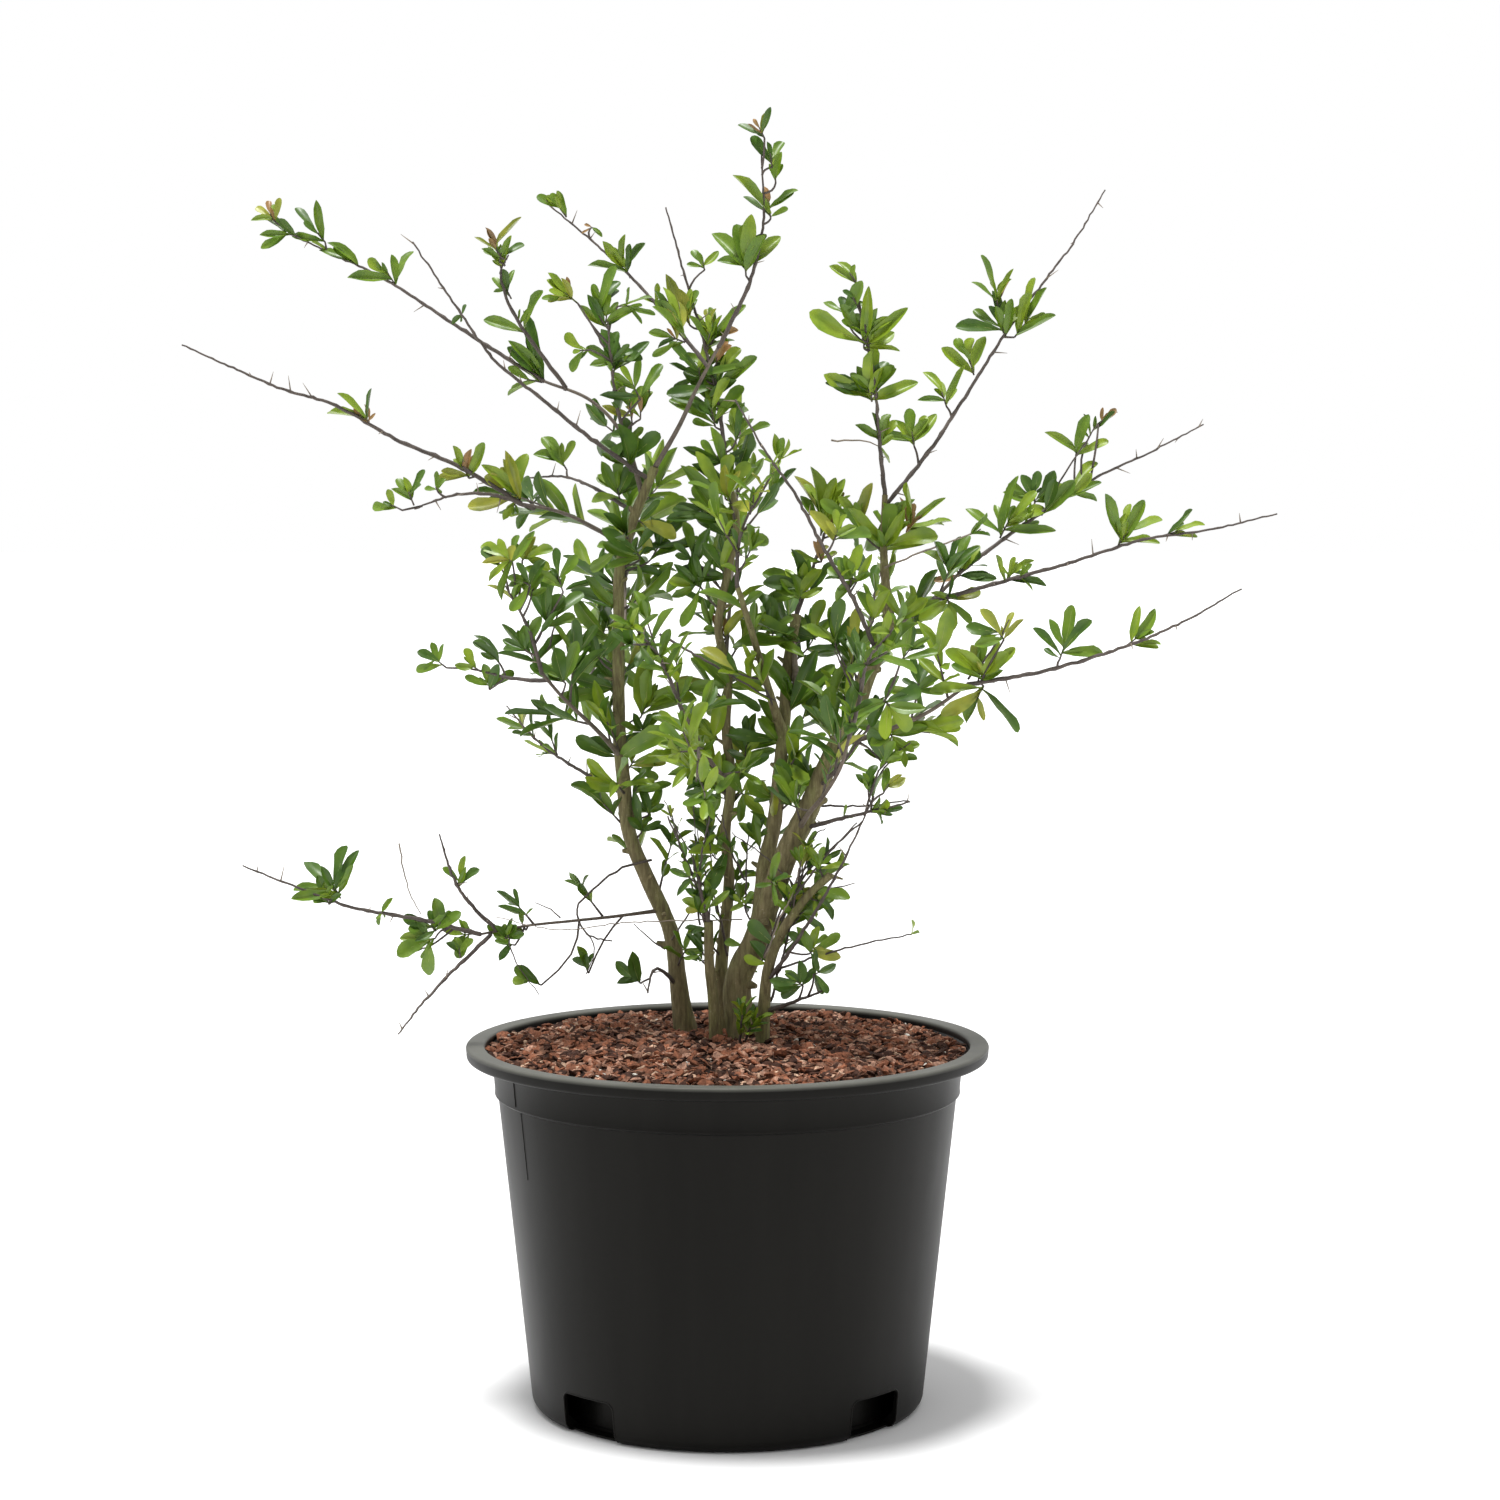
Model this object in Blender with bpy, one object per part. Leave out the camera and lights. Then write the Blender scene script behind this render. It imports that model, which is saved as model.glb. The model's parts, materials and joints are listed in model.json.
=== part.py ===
"""A potted pomegranate shrub: a nursery pot of bark-topped mix, five stems, the
boughs that leave them, and the leafy shoots that stems and boughs end in.

Metres, +Z up. The origin is the middle of the pot's flat underside, and the
plant's front faces -Y. Run it with: blender --background --python part.py
"""

from collections import namedtuple
from math import cos, log, pi, sin, sqrt, tau

import bmesh
import bpy
import numpy as np
from mathutils import Vector

# The clearance that touching pieces keep.
GAP = 0.0003
SHARP_ANGLE = 0.7

# Pot
POT_HEIGHT = 0.2510
POT_SIDES = 36
POT_WALL = 0.0030
POT_BASE_THICKNESS = 0.0030
BASE_RADIUS = 0.1350
BASE_CORNER = 0.0080
COLLAR_FOOT_Z = 0.2165
COLLAR_FOOT_RADIUS = 0.1600
COLLAR_TOP_RADIUS = 0.1622
COLLAR_STEP = 0.0020
COLLAR_STEP_RISE = 0.0008
LIP_DEPTH = 0.0095
LIP_ROUND = 0.0025
LIP_TUCK = 0.0030
RIM_RADIUS = 0.1800
RIM_INNER_RADIUS = 0.1670
NOTCH_COUNT = 4
NOTCH_WIDTH = 0.046
NOTCH_TOP_Z = 0.028
NOTCH_DEPTH = 0.016
NOTCH_TURN = pi / 4 + 0.035
CUTTER_MARGIN = 0.020

# Potting mix, mounded a little round the stems, and clear of the notches
MIX_TOP_Z = 0.2530
MIX_EDGE_Z = 0.2440
MIX_CROWN_RADIUS = 0.070
MIX_FOOT_INSET = 0.020
MIX_FOOT_Z = 0.0315
MIX_WALL_GAP = 0.0010
MIX_SIDES = 28

# Stems and boughs
STEM_SIDES = 8
BOUGH_SIDES = 6
LIMB_STEP = 0.036
KINK = 0.007
FLARE = 0.35
FLARE_HEIGHT = 0.018

# Leafy shoots
SHOOT_SIDES = 3
SHOOT_STEP = 0.045
SHOOT_FOOT_RADIUS = 0.0017
SHOOT_TIP_RADIUS = 0.0008
SPUR_RADIUS = 0.0010
SPUR_TAPER = 0.7
# A spur's length is its leaves' length times this, or times less where space is short.
SPUR_LENGTH = 0.55
SPUR_LENGTH_SHORT = 0.22
# How far a spur heads along its shoot, aside and up.
SPUR_ALONG = 0.55
SPUR_ASIDE = 0.65
SPUR_UP = 0.55
TUFT_TURN = pi * (3 - sqrt(5))
# Where the pairs and the end leaf stand along a spur, and each pair's turn from the last.
PAIRS_FROM = 0.35
PAIRS_SPAN = 0.45
END_LEAF_AT = 0.97
PAIR_TURN = pi / 2 + 0.3
# A leaf's proportions, and how far its tip reaches past the tip of its shoot.
LEAF_WIDTH = 0.40
LEAF_THICKNESS = 0.045
LEAF_WIDEST = 0.58
END_LEAF_REACH = 0.9
# How a leaf stands: its angle to the twig, its lift, its roll and its size.
PAIR_SPREAD = (0.5, 0.95)
END_SPREAD = (-0.3, 0.3)
LEAF_LIFT = 0.25
FACE_LIFT = 0.4
LEAF_ROLL = 0.5
PAIR_SIZES = (0.75, 1.1)
END_SIZES = (0.85, 1.1)
ROOT_SINK = 0.4

# How clear a leaf or spur stays of the next shoot's space, of limbs and of the pot
SPACE_MARGIN = 0.0010
LIMB_MARGIN = 0.0015
POT_MARGIN = 0.0040

# A stem stands on the mix. A bough or a shoot springs from the limb it is on, at
# a share of that limb's length (1 is its tip). Each runs straight to its tip,
# but for the bow that carries it aside, furthest at the share called peak. A
# shoot bears tufts of leaves at shares of its own length: each is a few pairs
# and an end leaf. The tip of a shoot that ends in a tuft is that leaf's tip.
Stem = namedtuple("Stem", "name foot tip bow peak foot_radius tip_radius")
Bough = namedtuple("Bough", "name on at tip bow foot_radius tip_radius")
Shoot = namedtuple("Shoot", "name on at tip bow tufts pairs leaf")

STEMS = (
    Stem("stem_west", (-0.030, 0.048), (-0.050, 0.030, 0.646), (-0.037, 0, 0), 0.61, 0.0062, 0.0032),
    Stem("stem_centre", (-0.002, 0.034), (0, 0.020, 0.642), (0.002, 0, 0), 0.50, 0.0046, 0.0022),
    Stem("trunk_east", (0.011, 0.016), (0.115, -0.030, 0.540), (-0.015, 0, 0.003), 0.35, 0.0095, 0.0056),
    Stem("stem_short", (-0.008, 0.006), (-0.013, -0.004, 0.335), (0, 0, 0), 0.50, 0.0038, 0.0032),
    Stem("stem_stub", (0.024, -0.008), (0.070, -0.030, 0.370), (-0.010, 0, 0.019), 0.40, 0.0040, 0.0026),
)

BOUGHS = (
    Bough("limb_middle", "trunk_east", 0.27, (0.048, 0.040, 0.544), (0, 0, 0), 0.0060, 0.0034),
    Bough("bough_top", "stem_west", 1, (-0.006, 0, 0.727), (0, 0, -0.001), 0.0030, 0.0018),
    Bough("bough_west_high", "stem_west", 0.95, (-0.128, 0.060, 0.706), (0.011, 0, 0.016), 0.0026, 0.0017),
    Bough("bough_west", "stem_west", 0.86, (-0.140, 0, 0.621), (0.002, 0, 0.004), 0.0026, 0.0017),
    Bough("bough_west_low", "stem_west", 0.49, (-0.125, -0.030, 0.507), (-0.002, 0, 0), 0.0028, 0.0018),
    Bough("bough_west_foot", "stem_west", 0.215, (-0.169, -0.010, 0.327), (-0.003, 0, 0), 0.0020, 0.0014),
    Bough("bough_east_up", "trunk_east", 0.97, (0.107, -0.010, 0.627), (-0.003, 0, 0), 0.0036, 0.0020),
    Bough("bough_east_out", "trunk_east", 1, (0.157, -0.015, 0.574), (0.002, 0, -0.002), 0.0028, 0.0018),
    Bough("bough_east_low", "trunk_east", 0.7, (0.160, -0.070, 0.502), (0.003, 0, -0.005), 0.0032, 0.0018),
    Bough("bough_middle_west", "limb_middle", 0.62, (0.007, -0.020, 0.565), (0, 0, 0), 0.0030, 0.0018),
    Bough("bough_front", "stem_centre", 0.45, (-0.030, -0.060, 0.485), (0, 0, -0.006), 0.0028, 0.0017),
    Bough("bough_front_east", "trunk_east", 0.5, (0.080, -0.115, 0.470), (0, 0, -0.006), 0.0030, 0.0018),
    Bough("bough_back", "stem_centre", 0.66, (0.004, 0.115, 0.590), (0, 0, -0.006), 0.0026, 0.0017),
    Bough("bough_back_west", "stem_west", 0.62, (-0.075, 0.140, 0.565), (0, 0, -0.006), 0.0028, 0.0017),
    Bough("bough_back_east", "trunk_east", 0.58, (0.098, 0.095, 0.500), (0, 0, -0.006), 0.0030, 0.0018),
)

SHOOTS = (
    Shoot("shoot_top", "bough_top", 1, (0.030, -0.020, 0.884), (0.012, 0, -0.002),
          (0.11, 0.40, 0.68, 0.95, 1), 2, 0.034),
    Shoot("shoot_top_west", "bough_top", 0.85, (-0.144, 0.070, 0.848), (0.004, 0, 0.001),
          (0.14, 0.54, 0.71, 1), 2, 0.034),
    Shoot("shoot_west_inner", "bough_west_high", 0.3, (-0.084, -0.050, 0.775), (-0.002, 0, 0),
          (0.25, 0.50, 0.75, 1), 2, 0.045),
    Shoot("shoot_west_high", "bough_west_high", 1, (-0.338, 0.100, 0.827), (-0.004, 0, 0.011),
          (0.14, 0.26, 0.56, 0.81, 1), 1, 0.036),
    Shoot("shoot_west_tuft", "bough_west_high", 0.85, (-0.160, 0.020, 0.815), (-0.023, 0, 0.018),
          (0.31, 0.49, 0.77, 1), 1, 0.030),
    Shoot("shoot_west_bare", "stem_west", 0.98, (-0.209, -0.040, 0.795), (-0.011, 0, -0.011),
          (0.74,), 1, 0.028),
    Shoot("shoot_west_side", "stem_west", 0.92, (-0.146, 0.120, 0.639), (0.002, 0, 0.010),
          (0.35, 0.65, 0.90), 1, 0.046),
    Shoot("shoot_west", "bough_west", 1, (-0.360, -0.060, 0.726), (-0.011, 0, 0.011),
          (0.04, 0.15, 0.41), 2, 0.034),
    Shoot("shoot_west_droop", "bough_west", 0.9, (-0.228, -0.060, 0.618), (0, 0, 0.010),
          (0.65, 1), 2, 0.026),
    Shoot("shoot_west_rise", "bough_west_low", 1, (-0.161, -0.080, 0.605), (0.004, 0, 0),
          (0.15, 0.40, 0.70, 1), 2, 0.050),
    Shoot("shoot_west_level", "bough_west_low", 0.92, (-0.220, -0.010, 0.518), (0, 0, -0.003),
          (0.20, 0.62, 1), 1, 0.042),
    Shoot("shoot_west_thin", "stem_west", 0.43, (-0.157, 0.080, 0.478), (-0.004, 0, -0.006),
          (0.50, 0.72), 1, 0.028),
    Shoot("shoot_foot_west", "bough_west_foot", 1, (-0.324, -0.060, 0.380), (-0.004, 0, -0.005),
          (0.04, 0.14, 0.58), 2, 0.030),
    Shoot("shoot_foot_rise", "bough_west_foot", 0.92, (-0.193, -0.050, 0.400), (-0.009, 0, 0),
          (0.51,), 1, 0.030),
    Shoot("shoot_foot_droop", "bough_west_foot", 0.95, (-0.221, -0.060, 0.266), (-0.005, 0, -0.002),
          (0.23,), 1, 0.028),
    Shoot("shoot_centre", "stem_centre", 1, (-0.043, 0.060, 0.826), (0.005, 0, 0),
          (0.08, 0.24, 0.40, 0.56, 0.72), 2, 0.038),
    Shoot("shoot_east_tall", "bough_east_up", 1, (0.087, -0.050, 0.778), (0.002, 0, 0),
          (0.20, 0.50, 0.78, 1), 2, 0.046),
    Shoot("shoot_east_lean", "bough_east_up", 0.95, (0.262, 0.060, 0.838), (0.001, 0, 0.001),
          (0.12, 0.27, 0.39, 0.53), 2, 0.034),
    Shoot("shoot_east_tuft", "trunk_east", 0.62, (0.128, -0.130, 0.535), (0, 0, -0.008),
          (0.25, 0.50, 0.75, 1), 2, 0.050),
    Shoot("shoot_east_out", "bough_east_out", 1, (0.332, 0.060, 0.676), (-0.004, 0, 0.005),
          (0.03, 0.18, 0.35, 0.55), 2, 0.042),
    Shoot("shoot_east_far", "bough_east_out", 0.55, (0.359, -0.100, 0.615), (0.002, 0, 0.004),
          (0.07, 0.21, 0.53, 0.70), 2, 0.036),
    Shoot("shoot_east_low", "bough_east_low", 1, (0.332, -0.130, 0.567), (0.006, 0, -0.012),
          (0.02, 0.15, 0.32, 0.55), 2, 0.038),
    Shoot("shoot_inner_rise", "trunk_east", 0.93, (0.006, -0.130, 0.688), (0.003, 0, 0.002),
          (0.18, 0.36, 0.80), 1, 0.034),
    Shoot("shoot_middle_west", "bough_middle_west", 1, (0.032, -0.080, 0.665), (-0.006, 0, 0.002),
          (0.12, 0.34, 0.56, 0.78, 1), 2, 0.050),
    Shoot("shoot_middle", "limb_middle", 1, (0.090, 0.070, 0.665), (0.001, 0, 0),
          (0.10, 0.38, 0.68, 1), 2, 0.048),
    Shoot("shoot_east_whip", "stem_stub", 0.25, (0.113, -0.070, 0.454), (0.001, 0, -0.007),
          (0.39, 0.93, 1), 1, 0.036),
    Shoot("shoot_east_thin", "trunk_east", 0.52, (0.123, -0.050, 0.422), (0, 0, 0),
          (0.60,), 1, 0.022),
    Shoot("shoot_short", "stem_short", 1, (-0.032, -0.022, 0.412), (0, 0, 0),
          (0.20, 0.60, 1), 2, 0.034),
    Shoot("shoot_foot_left", "stem_west", 0.085, (-0.069, -0.012, 0.280), (-0.004, 0, 0.013),
          (0.45, 1), 1, 0.030),
    Shoot("shoot_foot_right", "stem_stub", 0.12, (0.092, -0.055, 0.305), (0, 0, 0),
          (0.45, 1), 1, 0.036),
    Shoot("shoot_back_west", "bough_back_west", 1, (-0.058, 0.275, 0.660), (0, 0, 0.010),
          (0.04, 0.35, 0.68, 1), 2, 0.054),
    Shoot("shoot_back_low", "bough_back_west", 0.6, (-0.110, 0.210, 0.480), (0, 0, 0.010),
          (0.15, 0.45, 0.75, 1), 2, 0.054),
    Shoot("shoot_back", "bough_back", 1, (0.010, 0.250, 0.700), (0, 0, 0.008),
          (0.04, 0.35, 0.68, 1), 2, 0.052),
    Shoot("shoot_back_east", "bough_back_east", 1, (0.120, 0.245, 0.600), (0, 0, 0.010),
          (0.04, 0.35, 0.68, 1), 2, 0.054),
    Shoot("shoot_front", "bough_front", 1, (-0.065, -0.210, 0.560), (0, 0, 0.010),
          (0.04, 0.28, 0.52, 0.76, 1), 2, 0.052),
    Shoot("shoot_front_low", "bough_front", 0.6, (-0.020, -0.195, 0.440), (0, 0, 0.010),
          (0.15, 0.45, 0.75, 1), 2, 0.054),
    Shoot("shoot_front_east", "bough_front_east", 1, (0.100, -0.250, 0.560), (0, 0, 0.008),
          (0.04, 0.35, 0.68, 1), 2, 0.052),
)


# Scene, materials and objects

def clear_scene():
    for obj in list(bpy.data.objects):
        bpy.data.objects.remove(obj)


def make_material(name, colour, roughness):
    material = bpy.data.materials.new(name)
    material.use_nodes = True
    shader = material.node_tree.nodes["Principled BSDF"]
    shader.inputs["Base Color"].default_value = (*colour, 1)
    shader.inputs["Roughness"].default_value = roughness
    shader.inputs["Metallic"].default_value = 0
    return material


def make_object(name, bm, material=None, smooth=False):
    mesh = bpy.data.meshes.new(name)
    bmesh.ops.recalc_face_normals(bm, faces=bm.faces)
    bm.to_mesh(mesh)
    bm.free()
    if material:
        mesh.materials.append(material)
    if smooth:
        mesh.shade_smooth()
        mesh.set_sharp_from_angle(angle=SHARP_ANGLE)
    obj = bpy.data.objects.new(name, mesh)
    bpy.context.scene.collection.objects.link(obj)
    return obj


def apply_modifiers(obj):
    """Bake the object's modifiers into its mesh."""
    depsgraph = bpy.context.evaluated_depsgraph_get()
    baked = bpy.data.meshes.new_from_object(obj.evaluated_get(depsgraph))
    obj.modifiers.clear()
    obj.data = baked


def cut_away(obj, cutter):
    """Take the cutter's shape out of the object, and remove the cutter."""
    cut = obj.modifiers.new("cut", "BOOLEAN")
    cut.operation = "DIFFERENCE"
    cut.object = cutter
    apply_modifiers(obj)
    bpy.data.objects.remove(cutter)


# Turned shapes

def turned(profile, sides):
    """A closed body turned round Z from a profile that starts and ends on the axis."""
    bm = bmesh.new()
    foot = bm.verts.new((0, 0, profile[0][1]))
    head = bm.verts.new((0, 0, profile[-1][1]))
    rings = []
    for radius, z in profile[1:-1]:
        rings.append([bm.verts.new((radius * cos(tau * i / sides), radius * sin(tau * i / sides), z))
                      for i in range(sides)])
    for i in range(sides):
        j = (i + 1) % sides
        bm.faces.new((foot, rings[0][j], rings[0][i]))
        for low, high in zip(rings, rings[1:]):
            bm.faces.new((low[i], low[j], high[j], high[i]))
        bm.faces.new((head, rings[-1][i], rings[-1][j]))
    return bm


def arc(centre_r, centre_z, radius, start, end, steps):
    """Points of a profile along a round corner, between two angles."""
    angles = (start + (end - start) * i / steps for i in range(steps + 1))
    return [(centre_r + radius * cos(a), centre_z + radius * sin(a)) for a in angles]


def wall_radius(z):
    """The outer radius of the tapering wall below the collar."""
    top = COLLAR_FOOT_RADIUS - COLLAR_STEP
    return BASE_RADIUS + (top - BASE_RADIUS) * z / COLLAR_FOOT_Z


def build_pot(material):
    """The nursery pot: tapered wall, collar, rolled lip and open foot notches."""
    lip_foot = POT_HEIGHT - LIP_DEPTH
    corner_radius = wall_radius(BASE_CORNER) - BASE_CORNER
    outer = [(0, 0), *arc(corner_radius, BASE_CORNER, BASE_CORNER, -pi / 2, 0, 3)]
    outer += [
        (wall_radius(COLLAR_FOOT_Z), COLLAR_FOOT_Z),
        (COLLAR_FOOT_RADIUS, COLLAR_FOOT_Z + COLLAR_STEP_RISE),
        (COLLAR_TOP_RADIUS, lip_foot),
        (RIM_RADIUS - LIP_TUCK, lip_foot),
        *arc(RIM_RADIUS - LIP_ROUND, POT_HEIGHT - LIP_ROUND, LIP_ROUND, 0, pi / 2, 2),
        (RIM_INNER_RADIUS + LIP_ROUND, POT_HEIGHT),
    ]
    inner_foot = wall_radius(POT_BASE_THICKNESS + BASE_CORNER) - POT_WALL
    inner = [
        (RIM_INNER_RADIUS, POT_HEIGHT - LIP_ROUND),
        (COLLAR_TOP_RADIUS - POT_WALL, lip_foot),
        (COLLAR_FOOT_RADIUS - POT_WALL - COLLAR_STEP, COLLAR_FOOT_Z),
        (inner_foot, POT_BASE_THICKNESS + BASE_CORNER),
        (inner_foot - BASE_CORNER, POT_BASE_THICKNESS),
        (0, POT_BASE_THICKNESS),
    ]
    pot = make_object("pot", turned(outer + inner, POT_SIDES), material, smooth=True)
    for i in range(NOTCH_COUNT):
        turn = NOTCH_TURN + tau * i / NOTCH_COUNT
        reach = (BASE_RADIUS - NOTCH_DEPTH, BASE_RADIUS + CUTTER_MARGIN)
        box = bmesh.new()
        for r in reach:
            for side in (-1, 1):
                for z in (-CUTTER_MARGIN, NOTCH_TOP_Z):
                    across = side * NOTCH_WIDTH / 2
                    box.verts.new((r * cos(turn) - across * sin(turn), r * sin(turn) + across * cos(turn), z))
        bmesh.ops.convex_hull(box, input=box.verts)
        cut_away(pot, make_object("notch_cutter", box))
    return pot


def build_mix(material):
    """The potting mix, from the pot's floor to its mounded bark top."""
    floor = POT_BASE_THICKNESS + GAP
    foot_radius = BASE_RADIUS - MIX_FOOT_INSET
    collar_inside = COLLAR_FOOT_RADIUS - POT_WALL - COLLAR_STEP
    profile = [
        (0, floor),
        (foot_radius, floor),
        (foot_radius, MIX_FOOT_Z),
        (wall_radius(MIX_FOOT_Z) - POT_WALL - MIX_WALL_GAP, MIX_FOOT_Z),
        (collar_inside - MIX_WALL_GAP, COLLAR_FOOT_Z),
        (COLLAR_TOP_RADIUS - POT_WALL - MIX_WALL_GAP, POT_HEIGHT - LIP_DEPTH),
        (COLLAR_TOP_RADIUS - POT_WALL, MIX_EDGE_Z),
        (MIX_CROWN_RADIUS, MIX_TOP_Z),
        (0, MIX_TOP_Z),
    ]
    return make_object("potting_mix", turned(profile, MIX_SIDES), material, smooth=True)


# Routes and tubes

def unit(vector):
    return vector / np.linalg.norm(vector)


class Route:
    """A limb's centre line from foot to tip, with its radius all along."""

    def __init__(self, foot, tip, bow, foot_radius, tip_radius, step, seed, peak=0.5):
        foot, tip, bow = (np.array(v, float) for v in (foot, tip, bow))
        length = np.linalg.norm(tip - foot)
        count = max(3, round(length / step))
        share = np.linspace(0, 1, count + 1)[:, None]
        kinks = np.random.default_rng(seed).normal(0, KINK * length, (count + 1, 3))
        kinks[[0, -1]] = 0
        aside = np.sin(pi * share ** (log(0.5) / log(peak)))
        self.points = foot + (tip - foot) * share + aside * bow + kinks
        self.radii = foot_radius + (tip_radius - foot_radius) * share[:, 0]
        self.foot_normal = unit(self.points[1] - self.points[0])

    def place(self, at):
        """The centre, direction and radius at a share of the route's length."""
        spot = min(at, 0.9999) * (len(self.points) - 1)
        i = int(spot)
        centre = self.points[i] + (self.points[i + 1] - self.points[i]) * (spot - i)
        radius = self.radii[i] + (self.radii[i + 1] - self.radii[i]) * (spot - i)
        return centre, unit(self.points[i + 1] - self.points[i]), radius

    def samples(self, spacing=0.003):
        """Points close together along the route, with the radius at each."""
        length = np.linalg.norm(np.diff(self.points, axis=0), axis=1).sum()
        places = [self.place(at) for at in np.linspace(0, 1, max(2, int(length / spacing)))]
        return np.array([p[0] for p in places]), np.array([p[2] for p in places])


def tube(route, sides, grow=0):
    """A closed tapering tube along a route, grown all round and at its ends."""
    points = [Vector(p) for p in route.points]
    tangents = [Vector(route.foot_normal)]
    for before, after in zip(points, points[2:]):
        tangents.append((after - before).normalized())
    tangents.append((points[-1] - points[-2]).normalized())
    points[0] = points[0] - tangents[0] * grow
    points[-1] = points[-1] + tangents[-1] * grow
    across = tangents[0].orthogonal()
    bm = bmesh.new()
    rings = []
    for point, tangent, radius in zip(points, tangents, route.radii):
        across = (across - tangent * across.dot(tangent)).normalized()
        aside = tangent.cross(across)
        size = radius + grow / cos(pi / sides)
        rings.append([bm.verts.new(point + (across * cos(tau * i / sides) + aside * sin(tau * i / sides)) * size)
                      for i in range(sides)])
    for low, high in zip(rings, rings[1:]):
        for i in range(sides):
            j = (i + 1) % sides
            bm.faces.new((low[i], low[j], high[j], high[i]))
    bm.faces.new(reversed(rings[0]))
    bm.faces.new(rings[-1])
    return bm


def spring_from(parent, at, tip):
    """The foot of a limb on its parent's skin or tip, and the way its foot faces."""
    centre, along, radius = parent.place(at)
    if at == 1:
        return centre + along * GAP, along
    outward = np.array(tip) - centre
    outward = unit(outward - along * outward.dot(along))
    return centre + outward * (radius + GAP), outward


# Stems and boughs

def lay_out_limbs():
    """The routes of all stems and boughs, by name."""
    routes = {}
    for seed, stem in enumerate(STEMS):
        foot = (*stem.foot, MIX_TOP_Z + GAP)
        route = Route(foot, stem.tip, stem.bow, stem.foot_radius, stem.tip_radius, LIMB_STEP, seed, stem.peak)
        heights = route.points[:, 2] - MIX_TOP_Z
        route.radii = route.radii * (1 + FLARE * np.exp(-heights / FLARE_HEIGHT))
        route.foot_normal = np.array((0, 0, 1))
        routes[stem.name] = route
    for seed, bough in enumerate(BOUGHS):
        parent = routes[bough.on]
        foot, facing = spring_from(parent, bough.at, bough.tip)
        if bough.at != 1:
            foot = parent.place(bough.at)[0]
        route = Route(foot, bough.tip, bough.bow, bough.foot_radius, bough.tip_radius, LIMB_STEP, 50 + seed)
        if bough.at == 1:
            route.foot_normal = facing
        routes[bough.name] = route
    return routes


def build_limbs(routes, material):
    """Every stem and bough, with each bough's foot cut to sit on its parent."""
    for stem in STEMS:
        make_object(stem.name, tube(routes[stem.name], STEM_SIDES), material, smooth=True)
    for bough in BOUGHS:
        limb = make_object(bough.name, tube(routes[bough.name], BOUGH_SIDES), material, smooth=True)
        if bough.at != 1:
            sides = STEM_SIDES if bough.on in [stem.name for stem in STEMS] else BOUGH_SIDES
            cut_away(limb, make_object("saddle_cutter", tube(routes[bough.on], sides, grow=GAP)))


# The space that each shoot keeps to

class Space:
    """What is free for one shoot: nearest its own stem, clear of limbs and pot."""

    def __init__(self, name, shoot_routes, limb_routes):
        self.own = shoot_routes[name].samples()[0]
        others = [route.samples()[0] for other, route in shoot_routes.items() if other != name]
        self.others = np.vstack(others)
        limbs = [route.samples() for route in limb_routes.values()]
        self.limbs = np.vstack([points for points, radii in limbs])
        self.limb_radii = np.concatenate([radii for points, radii in limbs])

    def holds(self, points):
        """Whether every one of the points is free."""
        points = np.array(points)
        own = self.distances(points, self.own).min(axis=1)
        others = self.distances(points, self.others).min(axis=1)
        limbs = (self.distances(points, self.limbs) - self.limb_radii).min(axis=1)
        radii = np.hypot(points[:, 0], points[:, 1])
        in_pot = (radii < RIM_RADIUS + POT_MARGIN) & (points[:, 2] < MIX_TOP_Z + POT_MARGIN)
        return bool(np.all(own + SPACE_MARGIN < others) and np.all(limbs > LIMB_MARGIN) and not in_pot.any())

    @staticmethod
    def distances(points, targets):
        return np.linalg.norm(points[:, None] - targets[None], axis=2)


# Leafy shoots

def leaf_points(root, along, face, length):
    """The six corners of a flat leaf: root, tip, both edges, back and front."""
    edge = np.cross(along, face)
    middle = root + along * (length * LEAF_WIDEST)
    half_width = length * LEAF_WIDTH / 2
    half_thickness = length * LEAF_THICKNESS / 2
    return [root, root + along * length, middle + edge * half_width, middle - edge * half_width,
            middle + face * half_thickness, middle - face * half_thickness]


def leaf_outline(corners):
    """The leaf's corners with points between them along its edges and middle."""
    root, tip, left, right = corners[:4]
    between = [root + (end - root) * share for end in (tip, left, right) for share in (0.3, 0.6, 0.8)]
    between += [tip + (end - tip) * share for end in (left, right) for share in (0.35, 0.7)]
    return corners + between


def leaf_body(corners):
    root, tip, left, right, front, back = range(6)
    bm = bmesh.new()
    verts = [bm.verts.new(corner) for corner in corners]
    for end in (root, tip):
        for edge in (left, right):
            for face in (front, back):
                bm.faces.new((verts[end], verts[edge], verts[face]))
    return bm


def twig_route(foot, heading, length):
    """A short straight twig."""
    twig = Route(foot, foot + heading * length, (0, 0, 0), SPUR_RADIUS, SPUR_RADIUS * SPUR_TAPER, length, 0)
    twig.points, twig.radii = twig.points[[0, -1]], twig.radii[[0, -1]]
    twig.foot_normal = heading
    return twig


def leaf_on(foot, heading, outward, spread, length, roll):
    """A leaf that leaves its twig at foot, leaning out from the twig's heading."""
    along = unit(heading * cos(spread) + outward * sin(spread) + np.array((0, 0, LEAF_LIFT)))
    upper = heading + np.array((0, 0, FACE_LIFT)) + roll * np.cross(heading, outward)
    face = unit(upper - along * upper.dot(along))
    return leaf_points(foot - along * (SPUR_RADIUS * ROOT_SINK), along, face, length)


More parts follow.
